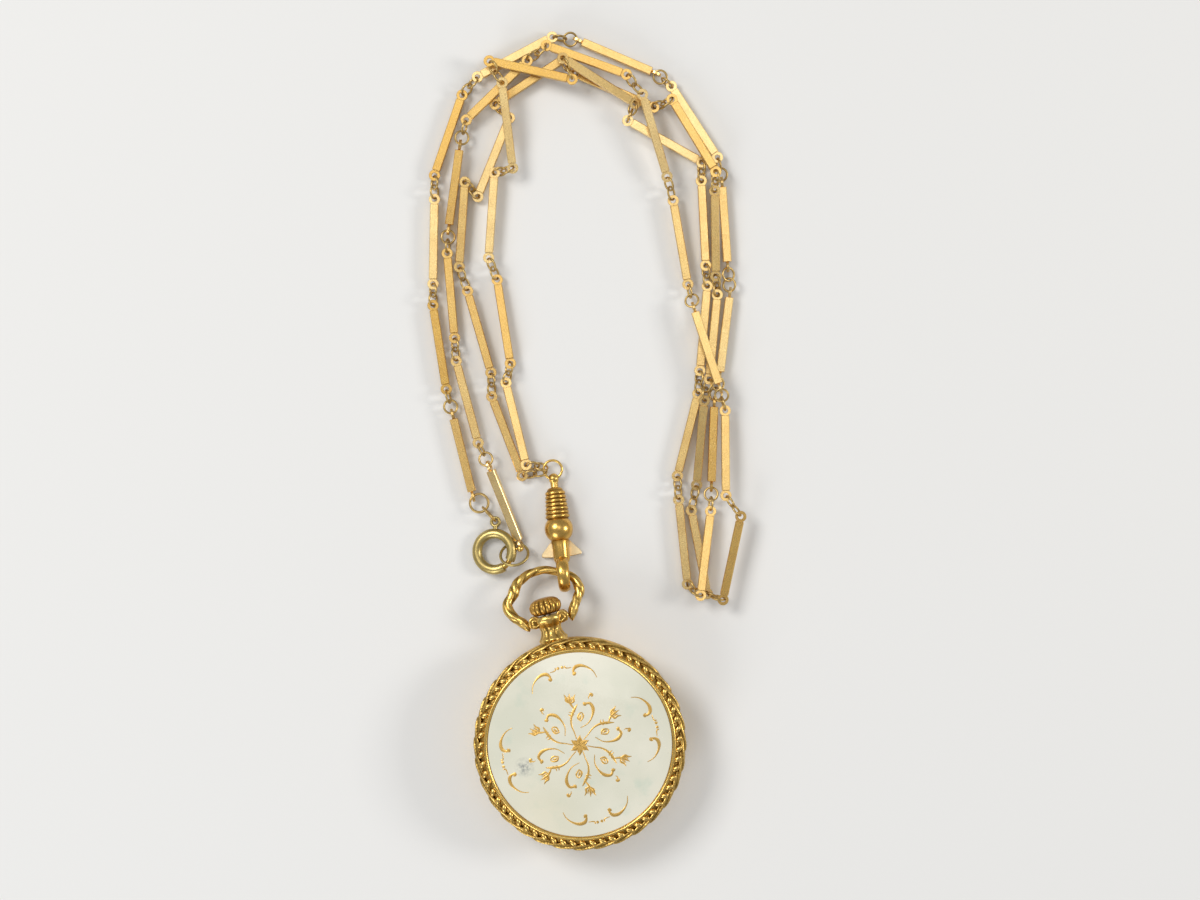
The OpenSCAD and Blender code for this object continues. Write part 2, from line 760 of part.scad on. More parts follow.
module barrel_bridge() {
    color("silver") difference() {
        union() {
            translate([0, 0, bridge_z])
                linear_extrude(bridge_t)
                    intersection() {
                        circle(r = plate_r - 0.2);
                        polygon([[-1.6, 3.6], [1.3, 2.1], [3.2, -0.3], [6, -3], [13, -5],
                                 [13, 13], [-5, 13], [-3.4, 8]]);
                    }
            bridge_legs(barrel_legs, bridge_z);
            translate([-3.3, crown_wheel_y - 0.5, saddle_z])
                cube([0.7, 1, bridge_z - saddle_z + 0.1]);
            translate([click_at[0], click_at[1], bridge_z])
                cylinder(r = 0.3 - running, h = bridge_t + 0.4);
        }
        translate([barrel_at[0], barrel_at[1], bridge_z - 1])
            cylinder(r = 0.6 + running, h = 3);
        translate([0, crown_wheel_y, saddle_z + 0.3])
            tube(2.45, 1.45, 5);
        translate([0, crown_wheel_y, bridge_z - 1])
            cylinder(r = 0.32 + fit, h = 3);
        translate([balance_at[0], balance_at[1], bridge_z - 1])
            cylinder(r = balance_r + 0.4, h = 3);
        bridge_screw_holes(barrel_legs, bridge_top);
    }
    color("silver") {
        translate([-3.3, crown_wheel_y - 0.5, saddle_z])
            cube([3.3, 1, 0.3]);
        translate([0, crown_wheel_y, saddle_z])
            cylinder(r = 1.3, h = bridge_z + 0.02 - saddle_z);
    }
}

module train_bridge() {
    color("silver") difference() {
        union() {
            translate([0, 0, bridge_z])
                linear_extrude(bridge_t)
                    intersection() {
                        circle(r = plate_r - 0.2);
                        polygon([[-1.9, 3.3], [1, 1.8], [2.9, -0.6], [5.7, -3.3], [13, -5.4],
                                 [13, -13], [-13, -13], [-13, -1.8], [-6, -1.2]]);
                    }
            bridge_legs(train_legs, bridge_z);
        }
        translate([0, 0, bridge_z - 1])
            cylinder(r = 0.22 + running, h = 3);
        pivot_holes(0.55 + fit, bridge_z - 1, 3);
        translate([balance_at[0], balance_at[1], bridge_z - 1])
            cylinder(r = balance_r + 0.4, h = 3);
        bridge_screw_holes(train_legs, bridge_top);
    }
}

module balance_cock() {
    color("silver") difference() {
        union() {
            translate([0, 0, cock_z]) {
                arm(cock_leg, balance_at, 2.2, cock_t);
                translate([cock_leg[0], cock_leg[1], 0])
                    cylinder(r = 1.35, h = cock_t);
                translate([balance_at[0], balance_at[1], 0])
                    cylinder(r = 1.5, h = cock_t);
            }
            bridge_legs([cock_leg], cock_z, 1.22);
        }
        translate([balance_at[0], balance_at[1], cock_z - 1])
            cylinder(r = 0.55 + fit, h = 3);
        bridge_screw_holes([cock_leg], cock_z + cock_t);
    }
}

module pallet_bridge() {
    top = plate_top + 1.35;
    color("silver") difference() {
        union() {
            translate([0, 0, top]) {
                arm(pallet_legs[0], pallet_at, 1.4, 0.3);
                arm(pallet_legs[1], pallet_at, 1.4, 0.3);
            }
            bridge_legs(pallet_legs, top, 0.5);
        }
        translate([pallet_at[0], pallet_at[1], top - 1])
            cylinder(r = 0.45 + fit, h = 3);
    }
}

module bridge_screws() {
    color("steelblue")
        for (i = [0 : len(bridge_screw_at) - 1])
            translate([bridge_screw_at[i][0], bridge_screw_at[i][1], 0])
                slotted_screw(i == len(bridge_screw_at) - 1 ? cock_z + cock_t : bridge_top);
}

module slotted_screw(top) {
    difference() {
        union() {
            translate([0, 0, top - 0.24])
                cylinder(r = 0.6, h = 0.35);
            translate([0, 0, plate_top - 0.8])
                cylinder(r = 0.32, h = top - plate_top + 0.6);
        }
        translate([-1, -0.07, top - 0.02])
            cube([2, 0.14, 0.5]);
    }
}

module jewel(at, z, r = 0.55) {
    translate([at[0], at[1], z])
        tube(r, 0.1 + running, 0.3);
}

module bearing_jewels() {
    color("crimson") {
        for (at = [third_at, fourth_at, escape_at, pallet_at, balance_at])
            jewel(at, plate_top - 0.35);
        for (at = [third_at, fourth_at, escape_at])
            jewel(at, bridge_z + 0.1);
        jewel(pallet_at, plate_top + 1.36, 0.45);
        jewel(balance_at, cock_z + 0.1);
    }
}

// Going train
module barrel() {
    wall = 0.4;
    r = barrel_n * barrel_m / 2 - 0.3;
    color("gold") translate([barrel_at[0], barrel_at[1], barrel_z]) difference() {
        union() {
            gear(barrel_n, barrel_m, 0.45, barrel_phase, 0.6 + running);
            tube(r, 0.6 + running, barrel_h);
        }
        translate([0, 0, 0.25])
            cylinder(r = r - wall, h = 5);
    }
}

module barrel_cover() {
    r = barrel_n * barrel_m / 2 - 0.7;
    color("gold") translate([barrel_at[0], barrel_at[1], barrel_z + barrel_h - 0.2])
        tube(r - fit, 0.6 + running, 0.2);
}

module barrel_arbor() {
    color("lightsteelblue") translate([barrel_at[0], barrel_at[1], 0]) {
        translate([0, 0, plate_z + 0.3])
            cylinder(r = 0.6, h = bridge_top + 0.35 - plate_z - 0.3);
        translate([0, 0, barrel_z + 0.28])
            cylinder(r = 1.3, h = barrel_h - 0.52);
    }
}

// The mainspring, wound against the barrel's wall
module mainspring() {
    outer = barrel_n * barrel_m / 2 - 0.8;
    outward = spiral_side(1.45, outer, 6, 20);
    inward = spiral_side(1.6, outer + 0.15, 6, 20);
    color("slategray") translate([barrel_at[0], barrel_at[1], barrel_z + 0.3])
        linear_extrude(barrel_h - 0.55)
            polygon(concat(outward, back_order(inward)));
}

module ratchet_wheel() {
    color("silver") translate([barrel_at[0], barrel_at[1], bridge_top + 0.05])
        gear(ratchet_n, ratchet_m, 0.3, ratchet_phase, 0.6 + fit, 0.75, 1.1, 0.19);
}

module ratchet_screw() {
    color("steelblue") translate([barrel_at[0], barrel_at[1], bridge_top + 0.35]) difference() {
        cylinder(r = 1, h = 0.25);
        translate([-1.5, -0.1, 0.12])
            cube([3, 0.2, 1]);
    }
}

// Crown wheel: a flat wheel over the bridge and a toothed skirt that meets the winding pinion
module crown_wheel() {
    skirt_z = stem_z + wind_m * (wind_n / 2 + 0.9) + 0.05;
    pitch = wind_m * contrate_n / 2;
    color("silver") translate([0, crown_wheel_y, 0]) {
        translate([0, 0, bridge_top + 0.05])
            gear(crown_wheel_n, ratchet_m, 0.3, 0, 0.75, 0.75, 1.1, 0.19);
        difference() {
            translate([0, 0, skirt_z])
                tube(pitch + 0.3, pitch - 0.3, bridge_top + 0.1 - skirt_z);
            for (i = [0 : contrate_n / 2 - 1])
                rotate([0, 0, i * 360 / contrate_n])
                    translate([-3, -0.15, skirt_z - 0.5])
                        cube([6, 0.3, 0.75]);
        }
    }
}

module crown_wheel_screw() {
    color("steelblue") translate([0, crown_wheel_y, 0]) {
        difference() {
            translate([0, 0, bridge_top + 0.38])
                cylinder(r = 1.1, h = 0.25);
            translate([-1.5, -0.1, bridge_top + 0.5])
                cube([3, 0.2, 1]);
        }
        translate([0, 0, bridge_top])
            cylinder(r = 0.7, h = 0.38);
        translate([0, 0, bridge_z + 0.05])
            cylinder(r = 0.32, h = bridge_t);
    }
}

// Click: a small pawl beside the ratchet wheel
click_way = -20;
click_reach = ratchet_n * ratchet_m / 2 + 1.35;
click_at = barrel_at + turn_to(click_way, click_reach);
module click() {
    tip_r = ratchet_m * (ratchet_n / 2 + 0.75) + 0.06;
    color("silver") translate([0, 0, bridge_top + 0.05]) {
        difference() {
            union() {
                arm(click_at, barrel_at + turn_to(click_way + 24, tip_r + 0.35), 0.7, 0.3);
                translate([click_at[0], click_at[1], 0])
                    cylinder(r = 0.75, h = 0.3);
            }
            translate([click_at[0], click_at[1], -1])
                cylinder(r = 0.3, h = 3);
        }
    }
}

module click_spring() {
    from = click_at + turn_to(click_way - 90, 0.95);
    color("slategray") translate([0, 0, bridge_top])
        arm(from, from + turn_to(click_way - 60, 1.6), 0.35, 0.25);
}

module centre_wheel() {
    color("gold")
        train_wheel(centre_n, centre_m, centre_z, centre_pin_n, barrel_m, barrel_z, 0.6, 0, 0,
                    bridge_z - 0.05);
    color("silver") translate([0, 0, minute_hand_z])
        cylinder(r = 0.22, h = bridge_top - minute_hand_z);
}

module third_wheel() {
    color("gold") translate([third_at[0], third_at[1], 0])
        train_wheel(third_n, third_m, third_z, third_pin_n, centre_m, centre_z - 0.1, 0.4,
                    third_phase, third_phase, bridge_z);
}

module fourth_wheel() {
    color("gold") translate([fourth_at[0], fourth_at[1], 0])
        train_wheel(fourth_n, fourth_m, fourth_z, fourth_pin_n, third_m, third_z - 0.1, 0.4,
                    fourth_phase, fourth_phase, bridge_z);
}

// Escape wheel with fifteen pointed teeth
module escape_wheel() {
    teeth = 15;
    tip = 2.15;
    root = 1.6;
    color("gold") translate([escape_at[0], escape_at[1], 0]) {
        translate([0, 0, escape_z]) {
            difference() {
                linear_extrude(wheel_t)
                    polygon([for (i = [0 : teeth - 1], p = [[-0.3, root], [0, tip], [0.12, tip],
                                                            [0.02, root]])
                        turn_to((i + p[0]) * 360 / teeth, p[1])]);
                translate([0, 0, -1])
                    tube(root - 0.3, 0.6, 3);
            }
            for (a = [0, 90])
                rotate([0, 0, a])
                    translate([0.2 - root, -0.15, 0])
                        cube([2 * root - 0.4, 0.3, wheel_t]);
        }
        translate([0, 0, fourth_z - 0.1])
            gear(escape_pin_n, fourth_m, 0.4, escape_phase, 0.08, 0.8, 1.1, 0.17);
        translate([0, 0, plate_top + 0.05])
            cylinder(r = 0.16, h = bridge_z - plate_top - 0.1);
        translate([0, 0, plate_top - 0.35])
            cylinder(r = 0.1, h = bridge_z - plate_top + 0.7);
    }
}

// Pallet fork: two arms that reach beside the escape wheel, and a forked lever
module pallet_fork() {
    to_wheel = pallet_way + 180;
    color("silver") translate([pallet_at[0], pallet_at[1], 0]) {
        translate([0, 0, pallet_z]) {
            for (s = [-1, 1])
                arm([0, 0], turn_to(to_wheel + s * 58, 1.35), 0.4, wheel_t);
            arm([0, 0], turn_to(balance_way, 1.75), 0.4, wheel_t);
            for (s = [-1, 1])
                arm(turn_to(balance_way, 1.75), turn_to(balance_way + s * 13, 2.35), 0.25,
                    wheel_t);
        }
        translate([0, 0, plate_top + 0.05])
            cylinder(r = 0.2, h = 1.25);
        translate([0, 0, plate_top - 0.35])
            cylinder(r = 0.1, h = 2);
    }
}

module balance_wheel() {
    color("gold") translate([balance_at[0], balance_at[1], balance_z]) {
        tube(balance_r - 0.15, balance_r - 0.65, 0.35);
        difference() {
            translate([-balance_r + 0.4, -0.25, 0.05])
                cube([2 * balance_r - 0.8, 0.5, 0.2]);
            translate([0, 0, -1])
                cylinder(r = 0.3 + fit, h = 3);
        }
        for (i = [0 : 11])
            rotate([0, 0, 15 + i * 30])
                translate([balance_r - 0.35, 0, 0.17])
                    rotate([0, 90, 0])
                        cylinder(r = 0.15, h = 0.35);
    }
}

// Balance staff with its roller and a short impulse pin
module balance_staff() {
    color("lightsteelblue") translate([balance_at[0], balance_at[1], 0]) {
        translate([0, 0, plate_top + 0.05])
            cylinder(r = 0.3, h = cock_z - plate_top - 0.15);
        translate([0, 0, plate_top - 0.35])
            cylinder(r = 0.1, h = cock_z - plate_top + 0.75);
        translate([0, 0, pallet_z + 0.45])
            cylinder(r = 1, h = 0.2);
        rotate([0, 0, balance_way + 180])
            translate([0.75, 0, pallet_z + wheel_t + 0.05])
                cylinder(r = 0.12, h = 0.25);
    }
}

module hairspring() {
    color("steelblue") translate([balance_at[0], balance_at[1], balance_z + 0.5])
        linear_extrude(0.15)
            polygon(concat(spiral_side(0.4, 2.1, 7, 16),
                           back_order(spiral_side(0.46, 2.16, 7, 16))));
}

module regulator() {
    color("lightsteelblue") translate([balance_at[0], balance_at[1], cock_z + cock_t + 0.02])
        difference() {
            union() {
                cylinder(r = 0.95, h = 0.15);
                rotate([0, 0, 125])
                    translate([0, -0.15, 0])
                        cube([3.2, 0.3, 0.15]);
            }
            translate([0, 0, -1])
                cylinder(r = 0.6, h = 3);
        }
}

// Winding and setting
module winding_pinion() {
    color("silver") along_y(wind_y - 0.5)
        gear(wind_n, wind_m, 1, 0, stem_r + running);
}

module sliding_pinion() {
    color("silver") along_y(wind_y - 2.3) difference() {
        union() {
            tube(1, stem_r - 0.1 + running, 0.45);
            tube(0.75, stem_r - 0.1 + running, 1.2);
            translate([0, 0, 1])
                tube(1.05, stem_r - 0.1 + running, 0.75);
        }
    }
}

module yoke() {
    color("slategray") translate([0, 0, stem_z - 0.1]) {
        arm([-1, wind_y - 1.6], [-3.6, wind_y - 1.6], 0.36, 0.35);
        arm([-3.6, wind_y - 1.6], [-3.6, wind_y - 0.9], 0.5, 0.35);
    }
}

module setting_lever() {
    color("slategray") {
        translate([0, 0, stem_z + 0.25])
            arm([1.1, lever_y], [2.6, lever_y], 0.9, 0.25);
        translate([0.35, lever_y - 0.2, stem_z + 0.25])
            cube([0.8, 0.4, 0.25]);
    }
}

// Swivel clasp. Its own frame has the hook's middle at the origin and +X towards the eye.
module swivel_frame() {
    translate(hook_at)
        rotate([0, 0, swivel_way])
            rotate([0, swivel_dip, 0])
                children();
}

module along_x(s) {
    translate([s, 0, 0])
        rotate([0, 90, 0])
            children();
}

rib_from = 8.9;
rib_pitch = 0.62;
rib_end = rib_from + swivel_ribs * rib_pitch;
gate_pivot = [5.4, -1.25];
gate_pin_r = 0.3;
eye_r = 0.85;
eye_shank_r = 0.6;

module swivel_body() {
    mid_r = hook_in_r + hook_r;
    color("gold") swivel_frame() difference() {
        union() {
            rotate([90, 0, 0])
                rotate_extrude(angle = 244)
                    translate([mid_r, 0])
                        circle(r = hook_r);
            along_x(1.75)
                cylinder(r = 1.35, h = 5);
            along_x(7.3)
                sphere(r = collar_r);
            along_x(8.3)
                cylinder(r = 2, h = 0.7);
            for (i = [0 : swivel_ribs - 1])
                along_x(rib_from + i * rib_pitch)
                    cylinder(r1 = 1.92 - 0.06 * i, r2 = 1.66 - 0.06 * i, h = rib_pitch + 0.01);
            along_x(rib_end)
                cylinder(r1 = 1.35, r2 = 0.9, h = 0.5);
        }
        along_x(rib_end - 1.5)
            cylinder(r = eye_shank_r + running, h = 3);
        translate([1, -0.5, -3.5])
            cube([5.2, 1, 3.3]);
        rotate([90, 0, 0])
            translate([0, 0, -3])
                cylinder(r = hook_in_r, h = 6);
        translate([gate_pivot[0], 2, gate_pivot[1] + 0.5])
            rotate([90, 0, 0])
                cylinder(r = gate_pin_r + fit, h = 4);
    }
}

// Gate: a sprung lever that closes the hook, with a thumb fin on each side
module swivel_gate() {
    fin_z = gate_pivot[1] + 0.05;
    color("khaki") swivel_frame() difference() {
        union() {
            translate([-0.35, -0.4, -mid_gate() - 0.35])
                cube([gate_pivot[0] + 0.9, 0.8, 0.7]);
            translate([gate_pivot[0] - 0.55, -0.4, -mid_gate()])
                cube([1.1, 0.8, mid_gate() - 0.35]);
            for (s = [-1, 1])
                mirror([0, s < 0 ? 1 : 0, 0])
                    translate([0, 0, -mid_gate() - 0.2])
                        linear_extrude(0.35)
                            polygon([[6, 0.3], [6, 1], [3.5, fin_span / 2], [3.1, fin_span / 2],
                                     [2.8, 0.3]]);
        }
        translate([gate_pivot[0], 2, gate_pivot[1] + 0.5])
            rotate([90, 0, 0])
                cylinder(r = gate_pin_r + running, h = 4);
    }
}

function mid_gate() = hook_in_r + hook_r - 0.1;

module gate_pin() {
    color("silver") swivel_frame()
        translate([gate_pivot[0], 1.1, gate_pivot[1] + 0.5])
            rotate([90, 0, 0])
                cylinder(r = gate_pin_r, h = 2.2);
}

module swivel_eye() {
    color("gold") swivel_frame() difference() {
        union() {
            along_x(rib_end - 1.3)
                cylinder(r = eye_shank_r, h = swivel_len - rib_end + 1);
            translate([swivel_len, 0, 0])
                sphere(r = eye_r);
        }
        translate([swivel_len, 2, 0])
            rotate([90, 0, 0])
                cylinder(r = 0.45, h = 4);
    }
}

module swivel_ring() {
    color("gold") translate(swivel_ring_at)
        torus(clasp_ring_r, clasp_wire_r);
}

// Chain
// A square bar with a flattened eyelet at each end, from the origin along +X
module chain_bar() {
    body = bar_len - 2 * eyelet_r + 0.3;
    difference() {
        union() {
            translate([(bar_len - body) / 2, -bar_w / 2, -bar_w / 2])
                cube([body, bar_w, bar_w]);
            for (x = [0, bar_len])
                translate([x, 0, -eyelet_t / 2])
                    cylinder(r = eyelet_r, h = eyelet_t);
        }
        for (x = [0, bar_len])
            translate([x, 0, -1])
                cylinder(r = eyelet_hole_r, h = 2);
    }
}

// Lays its children from one point towards another, with +X on the line
module lay(from, to) {
    reach = to - from;
    translate(from)
        rotate([0, -asin(reach[2] / norm(reach)), atan2(reach[1], reach[0])])
            children();
}

module bars_of(links, leave) {
    for (i = [0 : len(links) - 1])
        lay(link_start(links, leave, i), link_end(links, leave, i))
            rotate([links[i][3], 0, 0])
                chain_bar();
}

// The two rings between the end of one bar and the start of the next
module ring_pair(from, to, roll_a, roll_b, turn_a, turn_b) {
    d = roll_turn(roll_a, roll_b);
    s = d >= 0 ? 1 : -1;
    open = max(ring_lean, (ring_cross - abs(d)) / 2);
    span = norm(to - from);
    reach = link_ring_r + slip(span);
    lay(from, to) {
        translate([reach, 0, 0])
            rotate([90 + roll_a - s * open + turn_a, 0, 0])
                torus(link_ring_r, link_wire_r);
        translate([span - reach, 0, 0])
            rotate([90 + roll_a + d + s * open + turn_b, 0, 0])
                torus(link_ring_r, link_wire_r);
    }
}

module rings_of(links, leave) {
    for (i = [0 : len(links) - 1])
        ring_pair(i == 0 ? leave : link_end(links, leave, i - 1),
                  link_start(links, leave, i),
                  i == 0 ? 0 : links[i - 1][3],
                  links[i][3],
                  len(links[i]) > 6 ? links[i][6] : 0,
                  len(links[i]) > 7 ? links[i][7] : 0);
}

module chain_bars() {
    color("gold") {
        bars_of(outer_half, leave_at(outer_leave));
        bars_of(inner_half, leave_at(inner_leave));
    }
}

module chain_rings() {
    color("goldenrod") {
        rings_of(outer_half, leave_at(outer_leave));
        rings_of(inner_half, leave_at(inner_leave));
    }
}

// The spring ring's own frame: its middle at the origin, +X towards the jump ring
module spring_frame() {
    translate(spring_ring_at)
        rotate([0, 0, jump_way])
            rotate([0, -spring_ring_tilt, 0])
                children();
}

spring_eye_at = 96;
spring_eye_reach = 4.7;
gap_from = -50;
gap_to = -20;
thumb_at = 14;
bolt_travel = 28;

module spring_ring() {
    color("gold") spring_frame() difference() {
        union() {
            torus(spring_ring_r, spring_tube_r);
            rotate([0, 0, spring_eye_at]) {
                translate([spring_eye_reach, 0, 0])
                    torus(0.65, 0.25);
                along_x(spring_ring_r + 0.5)
                    cylinder(r = 0.35, h = spring_eye_reach - spring_ring_r - 1.1);
            }
        }
        torus(spring_ring_r, spring_tube_r - 0.28);
        rotate([0, 0, gap_from])
            rotate_extrude(angle = gap_to - gap_from)
                translate([spring_ring_r - 1, -1])
                    square(2);
        rotate([0, 0, thumb_at - 5])
            rotate_extrude(angle = bolt_travel + 10)
                translate([spring_ring_r + 0.3, -0.24])
                    square([1, 0.48]);
    }
}

// The sprung bolt inside the tube, which closes the gap and has a small thumb ball
module spring_ring_bolt() {
    color("goldenrod") spring_frame() {
        rotate([0, 0, gap_from - 2])
            rotate_extrude(angle = thumb_at + 6 - gap_from)
                translate([spring_ring_r, 0])
                    circle(r = spring_tube_r - 0.32);
        rotate([0, 0, thumb_at]) {
            along_x(spring_ring_r + 0.2)
                cylinder(r = 0.18, h = 1);
            along_x(spring_ring_r + spring_tube_r + 0.6)
                sphere(r = 0.52);
        }
    }
}

// Two rings that join the last bar of the outer half to the spring ring's eye
clasp_end = link_end(outer_half, leave_at(outer_leave), len(outer_half) - 1);
spring_eye_way = jump_way + spring_eye_at;
spring_eye = [spring_ring_at[0] + (spring_eye_reach + 0.15) * cos(spring_eye_way),
              spring_ring_at[1] + (spring_eye_reach + 0.15) * sin(spring_eye_way)];
clasp_reach = [spring_eye[0] - clasp_end[0], spring_eye[1] - clasp_end[1]];
clasp_way = atan2(clasp_reach[1], clasp_reach[0]);

module clasp_rings() {
    color("gold") translate([clasp_end[0], clasp_end[1], 0]) rotate([0, 0, clasp_way]) {
        translate([clasp_ring_r, 0, low])
            torus(clasp_ring_r, clasp_wire_r);
        translate([norm(clasp_reach) - clasp_ring_r, 0, clasp_ring_r + clasp_wire_r + 0.02])
            rotate([90, 0, 0])
                torus(clasp_ring_r, clasp_wire_r);
    }
}

module jump_ring() {
    color("gold") spring_frame()
        translate([spring_ring_r + 0.44, 0, 0])
            rotate([jump_lean, 0, 0])
                torus(jump_ring_r, jump_wire_r);
}

case_middle();
front_bezel();
crystal();
back_cover();
enamel_panel();
back_ring();
pendant_neck();
pendant_sleeve();
case_screws();
bow();
crown();
winding_stem();
dial();
hour_hand();
minute_hand();
cannon_pinion();
minute_wheel();
hour_wheel();
mainplate();
barrel_bridge();
train_bridge();
balance_cock();
pallet_bridge();
bridge_screws();
bearing_jewels();
barrel();
barrel_cover();
barrel_arbor();
mainspring();
ratchet_wheel();
ratchet_screw();
crown_wheel();
crown_wheel_screw();
click();
click_spring();
centre_wheel();
third_wheel();
fourth_wheel();
escape_wheel();
pallet_fork();
balance_wheel();
balance_staff();
hairspring();
regulator();
winding_pinion();
sliding_pinion();
setting_lever();
yoke();
swivel_body();
swivel_gate();
gate_pin();
swivel_eye();
swivel_ring();
chain_bars();
chain_rings();
clasp_rings();
spring_ring();
spring_ring_bolt();
jump_ring();
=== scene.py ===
import math

import bmesh
import bpy
import numpy as np
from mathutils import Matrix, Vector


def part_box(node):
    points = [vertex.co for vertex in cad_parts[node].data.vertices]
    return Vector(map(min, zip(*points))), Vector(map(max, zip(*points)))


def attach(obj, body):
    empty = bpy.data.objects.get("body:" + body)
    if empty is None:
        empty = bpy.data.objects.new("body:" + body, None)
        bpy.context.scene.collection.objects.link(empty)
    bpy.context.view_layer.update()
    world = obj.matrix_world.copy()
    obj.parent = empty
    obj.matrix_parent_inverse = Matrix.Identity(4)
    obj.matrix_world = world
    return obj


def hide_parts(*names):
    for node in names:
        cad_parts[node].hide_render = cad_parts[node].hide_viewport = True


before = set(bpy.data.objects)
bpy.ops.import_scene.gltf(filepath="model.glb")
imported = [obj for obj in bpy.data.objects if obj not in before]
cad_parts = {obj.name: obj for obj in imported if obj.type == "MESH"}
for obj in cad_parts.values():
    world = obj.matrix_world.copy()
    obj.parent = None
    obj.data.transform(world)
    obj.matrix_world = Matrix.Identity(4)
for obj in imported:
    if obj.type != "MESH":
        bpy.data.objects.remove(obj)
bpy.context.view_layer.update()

# Table, camera and light
# The watch lies on its face on a pale table, with the chain folded beyond it. The photograph looks
# straight down from about 41 cm, with the case's own upright turned 14.5 degrees to the left.
turn = math.radians(14.5)
camera_height = 0.410
picture_middle = (0.01446, 0.04347)
lamp_aim = np.array((0.01, 0.04, 0.0))
scene = bpy.context.scene
scene.view_settings.view_transform = "Standard"

camera_data = bpy.data.cameras.new("camera")
camera_data.lens = 77.46
camera_data.sensor_width = 36
camera_data.clip_start = 0.01
camera = bpy.data.objects.new("camera", camera_data)
camera.location = (*picture_middle, camera_height)
camera.rotation_euler = (0, 0, -turn)
scene.collection.objects.link(camera)
scene.camera = camera


def put(tree, kind, inputs=None, **settings):
    """Adds a node. An input given as a socket is linked, and any other value is set."""
    node = tree.nodes.new(kind)
    for name, value in settings.items():
        setattr(node, name, value)
    for name, value in (inputs or {}).items():
        if isinstance(value, bpy.types.NodeSocket):
            tree.links.new(value, node.inputs[name])
        else:
            node.inputs[name].default_value = value
    return node


def lamp(name, place, size, watts, colour=(1, 1, 1)):
    """A square soft box at a place in metres, turned towards the middle of the chain."""
    data = bpy.data.lights.new(name, "AREA")
    data.size = size
    data.energy = watts
    data.color = colour
    box = bpy.data.objects.new(name, data)
    box.location = place
    away = np.array(place) - lamp_aim
    box.rotation_euler = (math.acos(away[2] / np.linalg.norm(away)), 0,
                          math.atan2(away[1], away[0]) + math.pi / 2)
    scene.collection.objects.link(box)


lamp("key_box", (-0.32, 0.42, 0.62), 0.30, 3.1, (1, 0.98, 0.95))
lamp("top_box", (0.10, 0.20, 0.75), 0.30, 0.42, (1, 0.98, 0.94))
lamp("side_box", (0.55, -0.05, 0.34), 0.16, 1.3, (1, 0.97, 0.93))
lamp("low_box", (-0.38, -0.35, 0.30), 0.22, 1.0, (0.96, 0.98, 1))

world = bpy.data.worlds.new("studio")
world.use_nodes = True
sky = world.node_tree.nodes["Background"].inputs
sky["Color"].default_value = (0.92, 0.93, 0.95, 1)
sky["Strength"].default_value = 0.38
scene.world = world

table_material = bpy.data.materials.new("pale_table")
table_material.use_nodes = True
table_shader = table_material.node_tree.nodes["Principled BSDF"]
table_shader.inputs["Base Color"].default_value = (0.78, 0.78, 0.77, 1)
table_shader.inputs["Roughness"].default_value = 0.7
table_half = 3
table_mesh = bpy.data.meshes.new("table_top")
table_mesh.from_pydata([(x * table_half, y * table_half, 0)
                        for x, y in ((-1, -1), (1, -1), (1, 1), (-1, 1))], [], [(0, 1, 2, 3)])
table_mesh.materials.append(table_material)
table_top = bpy.data.objects.new("table_top", table_mesh)
scene.collection.objects.link(table_top)

# Enamel panel
# A domed disc of off-white glass enamel on the back cover. Its gloss is uneven, and it has faint
# green stains, brown specks, a warm patch and a grey smudge. From here on, sizes are millimetres.
enamel_r = 14.3
enamel_top = 10.45
enamel_rise = 1.1
enamel_ball = (enamel_r ** 2 + enamel_rise ** 2) / (2 * enamel_rise)
milk, cream = (0.68, 0.68, 0.56, 1), (0.78, 0.76, 0.64, 1)
green_stain, warm_stain = (0.46, 0.60, 0.50, 1), (0.78, 0.70, 0.50, 1)
grey_smudge, brown_speck = (0.17, 0.18, 0.20, 1), (0.40, 0.38, 0.30, 1)


def millimetres(tree):
    """Object coordinates as a vector in millimetres."""
    place = put(tree, "ShaderNodeTexCoord").outputs["Object"]
    return put(tree, "ShaderNodeVectorMath", {0: place, "Scale": 1000.0},
               operation="SCALE").outputs[0]


def material(name):
    """An empty material, with its node tree and its Principled shader."""
    made = bpy.data.materials.new(name)
    made.use_nodes = True
    return made, made.node_tree, made.node_tree.nodes["Principled BSDF"]


def blend_colour(tree, share, low, high, kind="MIX"):
    """Mixes two colours by a share from 0 to 1."""
    return put(tree, "ShaderNodeMix", {0: share, 6: low, 7: high},
               data_type="RGBA", blend_type=kind).outputs[2]


def noise(tree, vector, scale, detail=2.0, rough=0.5):
    """Cloudy noise from 0 to 1, with scale in features per millimetre."""
    return put(tree, "ShaderNodeTexNoise", {"Vector": vector, "Scale": scale, "Detail": detail,
                                            "Roughness": rough}).outputs["Fac"]


def between(tree, value, low, high, to_low=0.0, to_high=1.0):
    """Stretches a value from low and high to new ends, and holds it there."""
    return put(tree, "ShaderNodeMapRange", {"Value": value, "From Min": low, "From Max": high,
                                            "To Min": to_low, "To Max": to_high}).outputs[0]


def times(tree, one, other):
    """Product of two values."""
    return put(tree, "ShaderNodeMath", {0: one, 1: other}, operation="MULTIPLY").outputs[0]


def spot(tree, vector, middle, reach, edge):
    """Round mask: 1 within reach minus edge of the middle, 0 beyond reach."""
    far = put(tree, "ShaderNodeVectorMath", {0: vector, 1: middle}, operation="DISTANCE")
    return between(tree, far.outputs["Value"], reach, reach - edge)


def dress(node, made):
    """Gives a CAD node its material."""
    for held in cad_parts[node].material_slots:
        held.material = made


